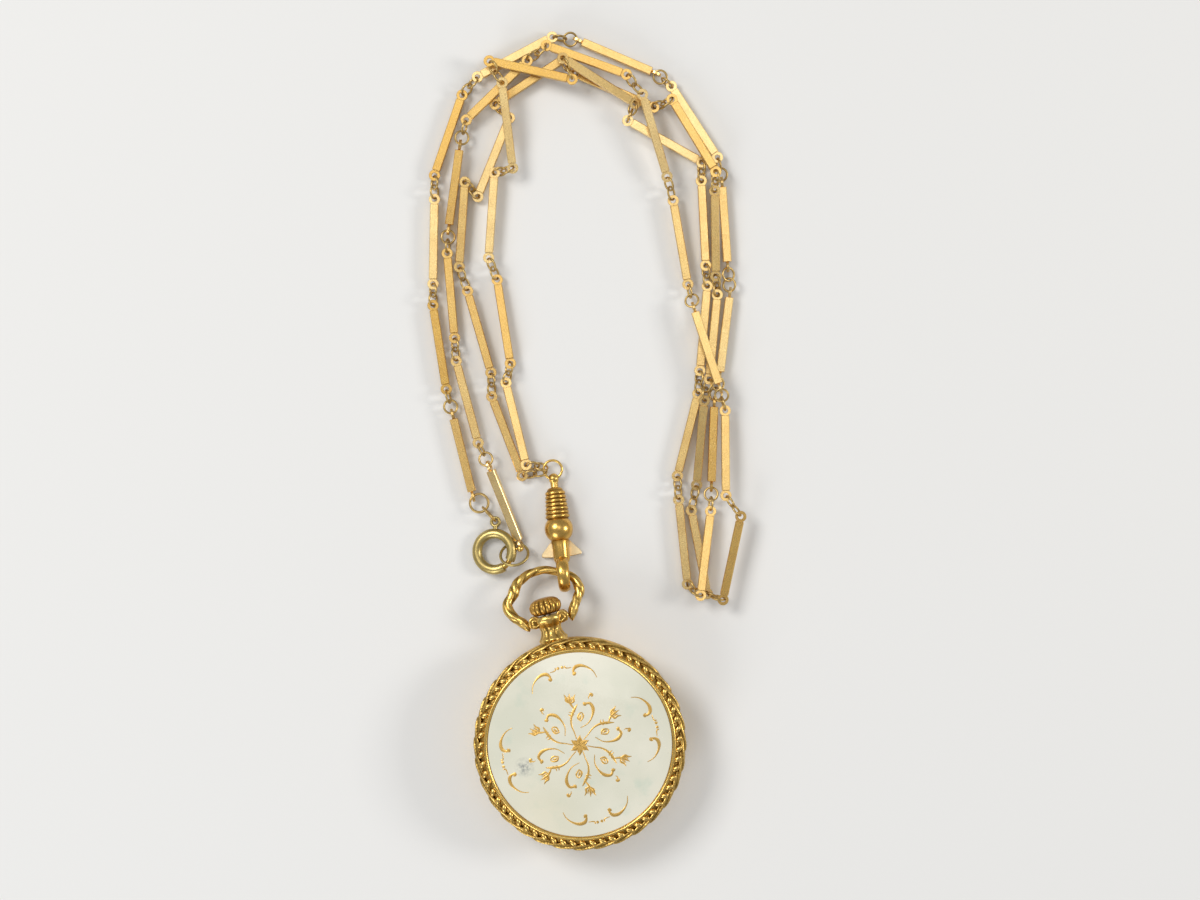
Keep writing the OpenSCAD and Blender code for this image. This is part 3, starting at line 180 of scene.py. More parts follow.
enamel, tree, shader = material("milky_enamel")
at = millimetres(tree)
body = blend_colour(tree, between(tree, noise(tree, at, 0.09, 3), 0.35, 0.65), milk, cream)
stain = between(tree, noise(tree, at, 0.21, 4, 0.6), 0.56, 0.76, 0, 0.42)
body = blend_colour(tree, stain, body, green_stain)
warm = times(tree, spot(tree, at, (-8, -8.5, 9.5), 8, 8), 0.35)
body = blend_colour(tree, warm, body, warm_stain)
smudge = times(tree, spot(tree, at, (-9.2, -1.2, 10), 1.7, 1.5),
               between(tree, noise(tree, at, 1.3, 4, 0.7), 0.40, 0.60))
body = blend_colour(tree, times(tree, smudge, 0.8), body, grey_smudge)
specks = between(tree, noise(tree, at, 5.0, 2), 0.70, 0.78, 0, 0.45)
body = blend_colour(tree, specks, body, brown_speck)
tree.links.new(body, shader.inputs["Base Color"])
gloss = between(tree, noise(tree, at, 0.8, 4, 0.6), 0.3, 0.75, 0.10, 0.26)
tree.links.new(gloss, shader.inputs["Roughness"])
ripple = put(tree, "ShaderNodeBump", {"Strength": 0.35, "Distance": 0.00006,
                                      "Height": noise(tree, at, 0.55, 4, 0.55)})
tree.links.new(ripple.outputs[0], shader.inputs["Normal"])
shader.inputs["IOR"].default_value = 1.52
shader.inputs["Coat Weight"].default_value = 0.4
shader.inputs["Coat Roughness"].default_value = 0.05
dress("enamel_panel", enamel)

# Gilt ornament on the enamel
# Fired gold, drawn with a fine brush and a little raised: a six-petalled flower, six scrolled
# stems with tulips and buds, and four pairs of border scrolls, evenly round the panel's middle.


def smooth(points, count):
    """Curve through the points. Between b and c it is the cubic that leaves b along c - a and
    reaches c along d - b, both halved, for neighbours a, b, c, d."""
    p = np.asarray(points, float)
    p = np.vstack([2 * p[0] - p[1], p, 2 * p[-1] - p[-2]])
    u = np.linspace(0, len(p) - 3, count)
    i = np.minimum(u.astype(int), len(p) - 4)
    f = (u - i)[:, None]
    a, b, c, d = p[i], p[i + 1], p[i + 2], p[i + 3]
    return 0.5 * (2 * b + (c - a) * f + (2 * a - 5 * b + 4 * c - d) * f ** 2
                  + (3 * b - a - 3 * c + d) * f ** 3)


def unit(v):
    """Vectors scaled to length 1."""
    return v / np.linalg.norm(v, axis=-1, keepdims=True)


def carried(path, section, up=(0, 0, 1)):
    """A section carried along a path: point + a * side + b * top, where side is the way crossed
    with up, top is side crossed with the way, and (a, b) are the section's points."""
    way = np.gradient(path, axis=0)
    side = unit(np.cross(way, up))
    top = unit(np.cross(side, way))
    s = np.asarray(section)
    return path[:, None] + s[..., :1] * side[:, None] + s[..., 1:] * top[:, None]


def oval(count, wide=1.0, high=1.0):
    """Points round an ellipse, counted from the side axis."""
    t = np.linspace(0, 2 * np.pi, count, endpoint=False)
    return np.stack([np.cos(t) * wide, np.sin(t) * high], -1)


def capped(grid):
    """A grid of rings with a point added in the middle of its first and last ring."""
    ends = [np.repeat(g.mean(-2, keepdims=True), g.shape[-2], -2)
            for g in (grid[..., :1, :, :], grid[..., -1:, :, :])]
    return np.concatenate([ends[0], grid, ends[1]], -3)


def spun(grid, angles):
    """Copies of a grid, each turned about the Z axis by one of the angles."""
    c, s = np.cos(angles), np.sin(angles)
    o = np.zeros_like(c)
    m = np.stack([np.stack([c, -s, o], -1), np.stack([s, c, o], -1),
                  np.stack([o, o, o + 1], -1)], -2)
    return np.einsum("nij,...j->n...i", m, grid)


def placed(name, mesh, body, made, replaces, crease=None):
    """Merges a mesh's equal points, turns its faces outwards and puts it on its body. With a crease
    angle, in degrees, it is smooth up to that angle."""
    work = bmesh.new()
    work.from_mesh(mesh)
    bmesh.ops.remove_doubles(work, verts=work.verts, dist=1e-7)
    bmesh.ops.recalc_face_normals(work, faces=work.faces)
    work.to_mesh(mesh)
    work.free()
    if crease:
        mesh.shade_smooth()
        mesh.set_sharp_from_angle(angle=math.radians(crease))
    mesh.materials.append(made)
    thing = bpy.data.objects.new(name, mesh)
    scene.collection.objects.link(thing)
    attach(thing, body)
    if replaces:
        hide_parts(*replaces)


def piece(name, shells, body, made, replaces=(), own=None, hollow=None, crease=35):
    """One mesh from shells, each (points, closed) with points in a grid, or in copies of one, and
    closed for a grid whose rows also close on its first row. Each row of points is a closed ring,
    and a ring of equal points becomes a pole. Values in own, a vector for each point, and in
    hollow, 0 to 1, are kept for the material."""
    verts, faces, at_from = [], [], 0
    for points, closed in shells:
        grids = points.reshape((-1,) + points.shape[-3:])
        n, rows, cols = grids.shape[:3]
        i = np.arange(n * rows * cols).reshape(n, rows, cols) + at_from
        j = np.roll(i, -1, 2)
        i2, j2 = np.roll(i, -1, 1), np.roll(j, -1, 1)
        quad = np.stack([i, j, j2, i2], -1)
        faces.append((quad if closed else quad[:, :-1]).reshape(-1, 4))
        verts.append(grids.reshape(-1, 3))
        at_from += n * rows * cols
    mesh = bpy.data.meshes.new(name)
    mesh.from_pydata((np.concatenate(verts) * 0.001).tolist(), [],
                     np.concatenate(faces).tolist())
    for label, kind, values, key in (("own", "FLOAT_VECTOR", own, "vector"),
                                     ("hollow", "FLOAT", hollow, "value")):
        if values is not None:
            layer = mesh.attributes.new(label, kind, "POINT")
            layer.data.foreach_set(key, np.concatenate([np.ravel(v) for v in values]))
    placed(name, mesh, body, made, replaces, crease)


def on_dome(points, lift=0.0):
    """Flat points raised on to the enamel's dome: z is the ball's height over its radius."""
    points = np.asarray(points, float)
    r2 = (points ** 2).sum(-1)
    z = enamel_top - enamel_ball + np.sqrt(enamel_ball ** 2 - r2) + lift
    return np.concatenate([points, z[..., None]], -1)


brush = 1.75
gold_high = 0.05


def stroke(points, wide, count):
    """Brush stroke on the dome: a flat oval along a curve. Its half width is the brush's own times
    the list wide, from its first value at the start of the curve to its last at the end."""
    share = np.linspace(0, 1, count)
    w = brush * np.interp(share, np.linspace(0, 1, len(wide)), wide)
    size = np.stack([w, np.full(count, gold_high)], -1)[:, None]
    return capped(carried(on_dome(smooth(points, count)), oval(6)[None] * size))


def in_image(points):
    """Turns points from the photograph's upright to the watch's."""
    x, y = np.asarray(points, float).T
    return np.stack([x * math.cos(turn) + y * math.sin(turn),
                     -x * math.sin(turn) + y * math.cos(turn)], -1)


# Each stroke is its points, the half widths along it before the brush, and its count of samples.
fine = 0.045
branch = [stroke(in_image(p), w, n) for p, w, n in (
    ([(-0.5, 1.0), (-0.85, 2.0), (-1.3, 3.1), (-1.32, 4.3), (-0.9, 5.4), (-0.4, 6.35)],
     [fine, fine, 0.07, 0.10, 0.13, 0.03], 20),
    ([(0.1, 2.7), (1.25, 3.4), (1.9, 4.5), (2.05, 5.6), (1.6, 6.45), (0.95, 6.45)],
     [0.03, fine, 0.08, 0.16, 0.13, 0.09], 22),
    ([(1.0, 6.5), (0.75, 6.35), (0.6, 6.15)], [0.08, 0.24, 0.05], 8),
    ([(-0.85, 5.6), (-1.2, 6.0), (-1.5, 6.45)], [fine, 0.08, 0.10], 8),
    ([(-1.8, 4.75), (-1.35, 4.55), (-0.85, 4.75)], [0.02, 0.09, 0.02], 8),
    ([(-1.7, 5.1), (-1.2, 5.0), (-0.7, 5.25)], [0.02, 0.07, 0.02], 8),
    ([(-1.5, 6.45), (-2.15, 6.85), (-2.2, 7.35), (-2.5, 7.8)], [0.06, 0.10, 0.09, 0.02], 10),
    ([(-1.5, 6.45), (-0.95, 6.75), (-1.0, 7.3), (-0.75, 7.85)], [0.06, 0.10, 0.09, 0.02], 10),
    ([(-1.5, 6.5), (-1.62, 7.1), (-1.68, 7.95)], [0.06, 0.12, 0.02], 8),
    ([(-1.75, 6.7), (-1.95, 7.1), (-1.85, 7.55)], [0.03, 0.07, 0.02], 8),
    ([(-1.3, 6.7), (-1.3, 7.1), (-1.25, 7.55)], [0.03, 0.07, 0.02], 8),
    ([(0.15, 3.75), (-0.3, 4.2), (-0.15, 4.8), (0.25, 5.05), (0.55, 4.5), (0.15, 3.75)],
     [0.05, 0.09, 0.07, 0.05, 0.08, 0.05], 16),
    ([(0.1, 4.05), (0.05, 4.4), (0.2, 4.75)], [0.03, 0.11, 0.03], 8),
    ([(1.35, 7.15), (1.35, 7.5), (1.6, 7.75)], [0.02, 0.05, 0.07], 8),
    ([(1.45, 7.85), (1.7, 7.9), (1.9, 7.7), (1.75, 7.5)], [0.05, 0.14, 0.12, 0.03], 8))]
sixth = np.arange(6) * np.pi / 3
petal_turn = 0.25
petal = [stroke([(0.12, 0.0), (0.75, 0.14), (1.55, 0.0)], [0.05, 0.22, 0.03], 8),
         stroke([(0.12, 0.0), (0.8, -0.22), (1.25, -0.05)], [0.04, 0.10, 0.02], 8),
         stroke([(0.0, 0.0), (0.35, 0.3), (0.7, 0.42)], [0.03, 0.07, 0.02], 8)]
border = []
for side in (1, -1):
    flip = np.array((1, side))
    border += [stroke(np.array(p) * flip, w, n) for p, w, n in (
        ([(9.5, 5.15), (10.3, 4.95), (10.95, 4.55), (11.55, 3.85), (11.87, 3.05), (11.8, 2.3),
          (11.4, 1.9), (10.98, 1.85)], [0.03, 0.04, 0.06, 0.10, 0.17, 0.18, 0.10, 0.10], 26),
        ([(11.1, 1.8), (10.9, 1.9), (10.72, 2.1)], [0.10, 0.27, 0.12], 8),
        ([(11.95, 1.7), (12.0, 1.1), (12.15, 0.75), (12.45, 0.75)], [0.03, 0.05, 0.06, 0.06], 12),
        ([(12.1, 0.42), (12.3, 0.34), (12.5, 0.44)], [0.07, 0.15, 0.05], 8))]


def metal_group(name, inputs):
    """A node group for the surface of a metal, with its two ends: the sockets that it is given,
    and its Colour, Roughness and Normal to be linked."""
    group = bpy.data.node_groups.new(name, "ShaderNodeTree")
    outputs = (("Colour", "Color"), ("Roughness", "Float"), ("Normal", "Vector"))
    for way, sockets in (("INPUT", inputs), ("OUTPUT", outputs)):
        for label, kind in sockets:
            group.interface.new_socket(label, in_out=way, socket_type="NodeSocket" + kind)
    given = group.nodes.new("NodeGroupInput").outputs
    return group, given, group.nodes.new("NodeGroupOutput").inputs


def as_metal(tree, shader, group, inputs):
    """Makes a shader a metal that takes its look from a node group with the inputs."""
    look = put(tree, "ShaderNodeGroup", inputs, node_tree=group).outputs
    tree.links.new(look["Colour"], shader.inputs["Base Color"])
    tree.links.new(look["Roughness"], shader.inputs["Roughness"])
    tree.links.new(look["Normal"], shader.inputs["Normal"])
    shader.inputs["Metallic"].default_value = 1.0


def gilt_wear():
    """Shared look of gilding: tarnished darker in soft blotches, with painted shade in the hollows,
    and finely pitted. Vector is in millimetres."""
    group, given, out = metal_group("gilt_wear", (
        ("Vector", "Vector"), ("Colour", "Color"), ("Shade", "Color"), ("Hollow", "Float"),
        ("Blotch", "Float"), ("Roughness", "Float"), ("Depth", "Float")))
    cloud = between(group, noise(group, given["Vector"], 0.55, 4, 0.6), 0.42, 0.68)
    pits = noise(group, given["Vector"], 7.0, 3, 0.6)
    # The dark mix is tarnish in blotches plus painted shade from the Hollow mask.
    tarnish_and_shade = put(group, "ShaderNodeMath", {0: times(group, cloud, given["Blotch"]),
                                            1: given["Hollow"]}, operation="ADD", use_clamp=True)
    colour = blend_colour(group, tarnish_and_shade.outputs[0], given["Colour"], given["Shade"])
    rubbed = between(group, pits, 0.35, 0.7, 0.92, 1.1)
    colour = blend_colour(group, 1.0, colour, rubbed, "MULTIPLY")
    more = put(group, "ShaderNodeMath", {0: tarnish_and_shade.outputs[0], 1: 0.22, 2: given["Roughness"]},
               operation="MULTIPLY_ADD")
    more = put(group, "ShaderNodeMath", {0: pits, 1: 0.12, 2: more.outputs[0]},
               operation="MULTIPLY_ADD", use_clamp=True)
    bump = put(group, "ShaderNodeBump", {"Strength": given["Depth"], "Distance": 0.00003,
                                         "Height": pits})
    group.links.new(colour, out["Colour"])
    group.links.new(more.outputs[0], out["Roughness"])
    group.links.new(bump.outputs[0], out["Normal"])
    return group


gilding_wear_and_shade = gilt_wear()


def gilded(name, colour, shade, rough, blotch, depth, hollow=False):
    """Gilt metal with tarnish and pits. With hollow it reads the mesh's hollow mask as painted
    shade.
    """
    made, tree, shader = material(name)
    inputs = {"Vector": millimetres(tree), "Colour": (*colour, 1), "Shade": (*shade, 1),
              "Blotch": blotch, "Roughness": rough, "Depth": depth}
    if hollow:
        inputs["Hollow"] = put(tree, "ShaderNodeAttribute", attribute_name="hollow").outputs["Fac"]
    as_metal(tree, shader, gilding_wear_and_shade, inputs)
    return made


fired_gold = gilded("fired_gold", (0.82, 0.52, 0.15), (0.44, 0.25, 0.06), 0.34, 0.5, 0.5)
quarter = np.arange(4) * np.pi / 2
strokes = [spun(g, sixth) for g in branch] + [spun(g, sixth + petal_turn) for g in petal]
strokes += [spun(g, quarter) for g in border]
piece("enamel_ornament", [(g, False) for g in strokes], "back", fired_gold,
      crease=60)

# Rim of the back
# A smooth gilt fillet round the enamel, then a row of 63 slanted beads, then a rope edge of 32 leaf
# strands whose ribs run along them. All of it is one cast and chased ring on the back cover.
case_gold = gilded("case_gold", (0.84, 0.56, 0.16), (0.20, 0.11, 0.02), 0.19, 0.22, 0.25, True)
plain_gold = gilded("plain_gold", (0.84, 0.56, 0.16), (0.24, 0.13, 0.02), 0.19, 0.28, 0.25)


def turned(profile, count, axis="z", middle=(0, 0, 0)):
    """Surface of revolution: each (radius, height) of the profile goes round the axis. The rows
    run along the profile, and the columns round it."""
    r, h = np.asarray(profile, float).T
    t = np.linspace(0, 2 * np.pi, count, endpoint=False)
    a, b = r[:, None] * np.cos(t), r[:, None] * np.sin(t)
    h = np.broadcast_to(h[:, None], a.shape)
    grid = np.stack([a, b, h] if axis == "z" else [b, h, a], -1)
    return grid + np.asarray(middle, float)


fillet_at, bead_at, rope_at = 14.68, 15.38, 15.98
fillet_z, bead_z, rope_z = 9.3, 9.06, 8.52
bead_count, bead_turn = 63, math.radians(38)
bead_long, bead_wide, bead_high = 0.70, 0.42, 0.44
bed = turned([(14.33, 8.85), (14.82, 8.25), (15.5, 7.97), (15.6, 8.5), (15.5, 8.95),
              (15.05, 9.12), (14.33, 9.3)], 192)
fillet = turned(oval(14, 0.29, 0.31) + (fillet_at, fillet_z), 192)
# Bead: a blunt ball, cos u along it and sin(u)^0.8 round it, turned and set beside the fillet.
u, v = np.meshgrid(np.linspace(0, np.pi, 9), np.linspace(0, 2 * np.pi, 12, False), indexing="ij")
along = np.cos(u) * bead_long
across = np.sin(u) ** 0.8 * np.cos(v) * bead_wide
high = np.sin(u) ** 0.8 * np.sin(v) * bead_high
beads = spun(np.stack([bead_at + across * math.cos(bead_turn) + along * math.sin(bead_turn),
                       along * math.cos(bead_turn) - across * math.sin(bead_turn),
                       bead_z + high], -1), np.arange(bead_count) * 2 * np.pi / bead_count)
# Rope edge: a ring tube of leaves, t round the rim and p round the tube. A leaf's own phase is
# strands t / 2 pi + lead cos(p) / 2 - sin(p) / 4. Its tip, at low phase, stands out over the next
# leaf, and three ribs run along it.
strands, lead, samples = 32, 1.25, 28
rope_core, leaf_rise, rib_rise = 0.32, 0.35, 0.035
t, p = np.meshgrid(np.linspace(0, 2 * np.pi, strands * samples, False),
                   np.linspace(0, 2 * np.pi, samples, False), indexing="ij")
phase = (strands * t / (2 * np.pi) + lead * np.cos(p) * 0.5 - 0.25 * np.sin(p)) % 1
swell = np.clip(phase / 0.14, 0, 1) ** 0.7 * (1 - 0.9 * phase)
rib = np.cos(2 * np.pi * 3 * phase) * np.clip(phase * 8, 0, 1)
rho = rope_core + leaf_rise * swell + rib_rise * rib
out = rope_at + rho * np.cos(p)
rope = np.stack([out * np.cos(t), out * np.sin(t), rope_z + rho * np.sin(p) * 0.98], -1)
# The hollow masks paint shade: between the leaves and in the rib grooves, over the bed under the
# beads, and on the lower half of each bead.
rope_hollow = np.clip(1 - swell * 1.35, 0, 1) + np.clip(-rib, 0, 1) * 0.45
bed_hollow = np.full(bed.shape[:2], 0.75)
bed_hollow[0] = bed_hollow[-1] = 0.2
bead_hollow = np.broadcast_to(np.clip(0.55 - high, 0, 1) * 0.5, (bead_count,) + high.shape)
piece("back_rim", [(bed, True), (fillet, True), (beads, False), (rope, True)],
      "back", case_gold, ["back_ring"], crease=70,
      hollow=[bed_hollow, np.zeros(fillet.shape[:2]), bead_hollow,
              np.clip(rope_hollow, 0, 1)])

# Case
# Spun and polished gilt brass: the back cover under the enamel, the case middle and the bezel that
# holds the crystal. They keep the shapes that they were turned to.
for node in ("case_middle", "front_bezel", "back_cover"):
    dress(node, plain_gold)

# Pendant neck
# A cast baluster on the case, with a scroll on each side that holds the bow's pin and a chased leaf
# between the scrolls.
stem_z, hinge_y = 5.2, 19.8
neck_foot, neck_top, neck_sides = 15.35, 20.42, 64
heights = [neck_foot, 15.7, 16.2, 16.75, 17.2, 17.7, 18.2, 18.7, 19.2, 19.7, 20.1, neck_top]
widths = [2.45, 2.5, 2.2, 2.3, 1.95, 1.7, 1.62, 1.78, 2.15, 2.4, 2.42, 2.25]
leaf_from, leaf_long, leaf_cut = 15.9, 4.2, 0.12
y = np.linspace(neck_foot, neck_top, 44)
r = np.interp(y, heights, widths)
a = np.linspace(0, 2 * np.pi, neck_sides, endpoint=False)
# Leaf veins: the radius shrinks by leaf_cut (1 - |cos 4a|^0.6), most at half the leaf's length.
leaf = np.abs(np.cos(a * 4)) ** 0.6
fade = np.clip(np.sin((y - leaf_from) / leaf_long * np.pi), 0, 1)[:, None]
rr = r[:, None] * (1 - leaf_cut * (1 - leaf[None]) * fade)
skin = np.stack([rr * np.sin(a), np.broadcast_to(y[:, None], rr.shape),
                 stem_z + rr * np.cos(a)], -1)
# Painted shade in the cut of the leaf veins, and in the cup at the top.
skin_hollow = (1 - leaf[None]) * fade * 0.9
cup = turned([(1.7, neck_top), (1.35, 20.2), (0.62, 20.15)], neck_sides, "y", (0, 0, stem_z))
neck_shell = capped(np.concatenate([skin, cup], 0))
neck_hollow = np.concatenate([np.zeros((1, neck_sides)), skin_hollow,
                              np.full((len(cup) + 1, neck_sides), 0.6)], 0)
scroll_x, scroll_sides, spiral_z = 2.1, 28, 1.32
# Painted shade on the scroll discs: darkest at the middle of each face, half on the rim's band,
# none on its two edges.
scroll_painted_shade = np.array([0.9, 0.8, 0.5, 0, 0.5, 0.5, 0, 0.5, 0.8, 0.9])[:, None]
scroll_parts, scroll_hollow = [], []
for s in (-1, 1):
    disc = turned([(0.0, -1.3), (0.55, -1.34), (0.86, -1.28), (0.98, -1.1), (0.9, -0.6),
                   (0.9, 0.6), (0.98, 1.1), (0.86, 1.28), (0.55, 1.34), (0.0, 1.3)],
                  scroll_sides, middle=(s * scroll_x, hinge_y, stem_z))
    scroll_parts.append((disc, False))
    scroll_hollow.append(np.broadcast_to(scroll_painted_shade, disc.shape[:2]))
    # The volute's radius falls evenly from 1.02 to 0.3 over 1.55 turns.
    w = np.linspace(0, 1, 40)
    spiral = 1.02 - 0.72 * w
    way = math.pi * (1.3 - 3.1 * w)
    for face in (-1, 1):
        path = np.stack([s * (scroll_x - spiral * np.cos(way)), hinge_y + spiral * np.sin(way),
                         np.full(len(w), stem_z + face * spiral_z)], -1)
        size = np.interp(w, [0, 0.1, 0.9, 1], [0.06, 0.17, 0.14, 0.2])
        tube = capped(carried(path, oval(8)[None] * size[:, None, None]))
        scroll_parts.append((tube, False))
        scroll_hollow.append(np.zeros(tube.shape[:2]))
piece("neck_scrolls", [(neck_shell, False)] + scroll_parts, "case", case_gold,
      ["pendant_neck"], crease=50, hollow=[neck_hollow] + scroll_hollow)
dress("pendant_sleeve", plain_gold)

# Crown
# A pressed onion crown on the stem, with sixteen deep flutes that end in a lip, and a flat button.
crown_y, flutes = 20.6, 16
flute_deep, flute_end = 0.30, 2.62
y, r = np.array([(0.02, 0.7), (0.02, 1.3), (0.12, 1.85), (0.35, 2.2), (0.7, 2.47), (1.05, 2.56),
                 (1.4, 2.58), (1.68, 2.52), (1.85, 2.38), (1.93, 2.3), (2.05, 2.27), (2.3, 1.98),
                 (2.5, 1.6), (2.62, 1.2), (2.68, 0.6), (2.7, 0.0)]).T
fine_y = np.linspace(0, 1, 48)
y, r = (np.interp(fine_y, np.linspace(0, 1, len(y)), v) for v in (y, r))
a = np.linspace(0, 2 * np.pi, flutes * 12, endpoint=False)
# Flutes: cuts of depth 1 - |sin(flutes a / 2)|^0.7, which fade out towards the button and the axis.
groove = np.abs(np.sin(a * flutes / 2)) ** 0.7
reach = np.clip((flute_end - y) / 0.5, 0, 1) * np.clip((y + 0.3) / 0.5, 0, 1)
cut = (1 - groove)[None] * (reach * flute_deep)[:, None] * np.clip(r, 0, 2.4)[:, None] / 2.4
rr = np.maximum(r[:, None] - cut, 0)
crown = np.stack([rr * np.sin(a), crown_y + np.broadcast_to(y[:, None], rr.shape),
                  stem_z + rr * np.cos(a)], -1)
# Painted shade in the flutes, as deep as each is cut, and at the middle of the crown's foot.
crown_hollow = np.concatenate([np.full((1, len(a)), 0.6),
                               (1 - groove)[None] * reach[:, None] * 0.95,
                               np.zeros((1, len(a)))], 0)
crown_gold = gilded("crown_gold", (0.70, 0.42, 0.10), (0.20, 0.10, 0.02), 0.22, 0.3, 0.3, True)
piece("crown_onion", [(capped(crown), False)], "crown", crown_gold, ["crown"],
      crease=60, hollow=[crown_hollow])

# Bow
# A cast bow in the form of a twisted branch: wavy, with four small knots, and ending in long ribbed
# leaves beside the neck. It leans down from the neck to the table.
lean = math.radians(17)


def on_bow(flat):
    """Points of the bow's own plane put in place: out from the hinge it goes along the lean."""
    x, v = np.asarray(flat, float).T
    return np.stack([x, hinge_y + v * math.cos(lean), stem_z - v * math.sin(lean)], -1)


bow_line = [(-3.3, -1.2), (-3.6, -0.35), (-4.25, 0.65), (-5.15, 1.6), (-5.7, 2.8), (-5.65, 4.0),
            (-4.85, 4.95), (-4.2, 5.7), (-3.75, 6.5), (-2.8, 7.25), (-1.3, 7.85), (0.2, 8.0),
            (1.7, 7.75), (3.1, 7.1), (4.35, 6.35), (5.4, 5.45), (5.85, 4.2), (5.7, 3.0),
            (5.05, 2.0), (4.35, 0.9), (3.8, -0.2), (3.55, -1.2)]
count = 260
path = on_bow(smooth(bow_line, count))
s = np.linspace(0, 1, count)
thick = np.interp(s, [0, 0.015, 0.04, 0.085, 0.12, 0.15, 0.20, 0.27, 0.32, 0.40, 0.5, 0.62, 0.72,
                      0.78, 0.84, 0.87, 0.92, 0.96, 0.985, 1.0],
                  [0.06, 0.34, 0.62, 0.84, 0.74, 0.82, 0.88, 0.80, 0.96, 0.82, 0.70, 0.66, 0.70,
                   0.86, 0.78, 0.74, 0.84, 0.62, 0.34, 0.06])
a = np.linspace(0, 2 * np.pi, 30, endpoint=False)
# Branch: three lobes |cos(1.5 a - twist)|^0.6, twisted unevenly along it. Near both ends, leaves
# with nine ribs take over from the lobes.
twist = 2 * np.pi * 5.5 * s + 1.1 * np.sin(2 * np.pi * 2.3 * s)
lobes = np.abs(np.cos(1.5 * a[None] - twist[:, None])) ** 0.6
ribs = 0.5 + 0.5 * np.cos(9 * a)[None]
leaf_reach = 0.06
leafy = sum(np.clip(1 - np.abs(s - at_s) / leaf_reach, 0, 1) for at_s in (0.07, 0.93))[:, None]
shape = (0.80 + 0.20 * lobes) * (1 - leafy) + (0.88 + 0.12 * ribs) * leafy
section = np.stack([np.cos(a)[None] * shape, np.sin(a)[None] * shape], -1) * thick[:, None, None]
# Painted shade in the grooves between the lobes and between the leaves' ribs.
branch_hollow = np.clip((1 - lobes) * 1.1, 0, 1) * (1 - leafy) + (1 - ribs) * 0.6 * leafy
bow_hollow = np.concatenate([branch_hollow[:1], branch_hollow, branch_hollow[-1:]], 0)
normal = np.array((0, math.sin(lean), math.cos(lean)))
knot_stretch, knot_lift = (1.3, 1, 1), 0.48
half_turn = np.linspace(0, np.pi, 8)
knots = []
for share, knot_r in ((0.30, 0.30), (0.52, 0.24), (0.15, 0.26), (0.80, 0.30)):
    ball = turned(np.stack([np.sin(half_turn), -np.cos(half_turn)], -1) * knot_r, 12)
    knots.append((ball * knot_stretch + path[int(share * count)] + normal * knot_lift, False))
piece("bow_branch", [(capped(carried(path, section, normal)), False)] + knots, "bow", case_gold,
      ["bow"], crease=60,
      hollow=[bow_hollow] + [np.zeros(k[0].shape[:2]) for k in knots])

# Swivel clasp
# The hook, the collar and the ribbed barrel are one turned and bent piece. Its own line runs from
# the bow down to the eye, where the barrel turns on the eye's shank. A slot below holds the gate.
hook_at = on_bow([(4.0, 6.5)])[0]
swivel_len, eye_z = 15.2, 1.3
dip = math.asin((hook_at[2] - eye_z) / swivel_len)
swivel_way = math.radians(81.5)
out_way = np.array((math.cos(dip) * math.cos(swivel_way), math.cos(dip) * math.sin(swivel_way),
                    -math.sin(dip)))
left_way = np.array((-math.sin(swivel_way), math.cos(swivel_way), 0.0))
over_way = np.cross(out_way, left_way)


def on_swivel(points):
    """Points of the swivel's own frame, with its first axis towards the eye, put in place."""
    return hook_at + np.asarray(points, float) @ np.stack([out_way, left_way, over_way])


barrel_sides = 40
slot_half, slot_roof, slot_end = 0.48, -0.2, 6.2


def slotted_barrel(profile):
    """Turned surface about the swivel's line, from (distance along it, radius) pairs. Its columns
    go over the top from y = slot_half to -slot_half. The last two close it below, on the circle
    z = -sqrt(r^2 - y^2) at half that y, but along the slot they lie on its roof at the full y."""
    s, r = np.asarray(profile, float).T[..., None]
    far = np.minimum(slot_half, r)
    past = np.arccos(np.minimum(slot_half / np.maximum(r, slot_half), 1))
    t = -past + (np.pi + 2 * past) * np.linspace(0, 1, barrel_sides - 2)
    slotted = (s < slot_end) & (r > slot_half)
    near = far * np.where(slotted, 1, 0.5)
    lip = -np.sqrt(np.maximum(r ** 2 - far ** 2, 0))
    round_z = -np.sqrt(np.maximum(r ** 2 - far ** 2 / 4, 0))
    below = np.where(slotted, np.maximum(slot_roof, lip), round_z)
    y = np.concatenate([r * np.cos(t), -near, near], 1)
    z = np.concatenate([r * np.sin(t), below, below], 1)
    return on_swivel(np.stack([np.broadcast_to(s, y.shape), y, z], -1))


swivel_gold = gilded("swivel_gold", (0.76, 0.47, 0.12), (0.26, 0.13, 0.02), 0.20, 0.30, 0.25, True)
# Barrel: a collar, a ball and seven ribs tapering to the eye, with painted shade between ribs.
ball_at, ball_r = 7.15, 2.25
rib_count, rib_from, rib_pitch, rib_r, rib_taper = 7, 8.9, 0.62, 1.93, 0.055
barrel_line = [(1.55, 0.0), (1.62, 0.75), (1.9, 1.12), (2.4, 1.3), (4.6, 1.36), (5.2, 1.45)]
barrel_line += [(ball_at - ball_r * math.cos(v), ball_r * math.sin(v))
                for v in np.linspace(0.62, 2.35, 12)]
barrel_line += [(8.72, 1.66)]
barrel_painted_shade = [0.2, 0.1, 0.1, 0, 0, 0.5] + [0.25] + [0] * 10 + [0.5, 0.95]
for k in range(rib_count):
    big = rib_r - rib_taper * k
    at_s = rib_from + rib_pitch * k
    barrel_line += [(at_s + ds, big - dr) for ds, dr in (
        (-0.06, 0.22), (0.02, 0.07), (0.14, 0), (0.32, 0.02), (0.47, 0.1), (0.54, 0.24))]
    barrel_painted_shade += [0.95, 0.3, 0, 0, 0.3, 0.95]
barrel_line += [(13.24, 1.28), (13.45, 1.22), (13.68, 0.98), (13.74, 0.72), (13.74, 0.62)]
barrel_painted_shade += [0.6, 0.1, 0.1, 0.4, 0.9]
barrel = capped(slotted_barrel(barrel_line))
barrel_hollow = np.repeat(np.array([barrel_painted_shade[0]] + barrel_painted_shade + [0.9])[:, None],
                          barrel_sides, 1)
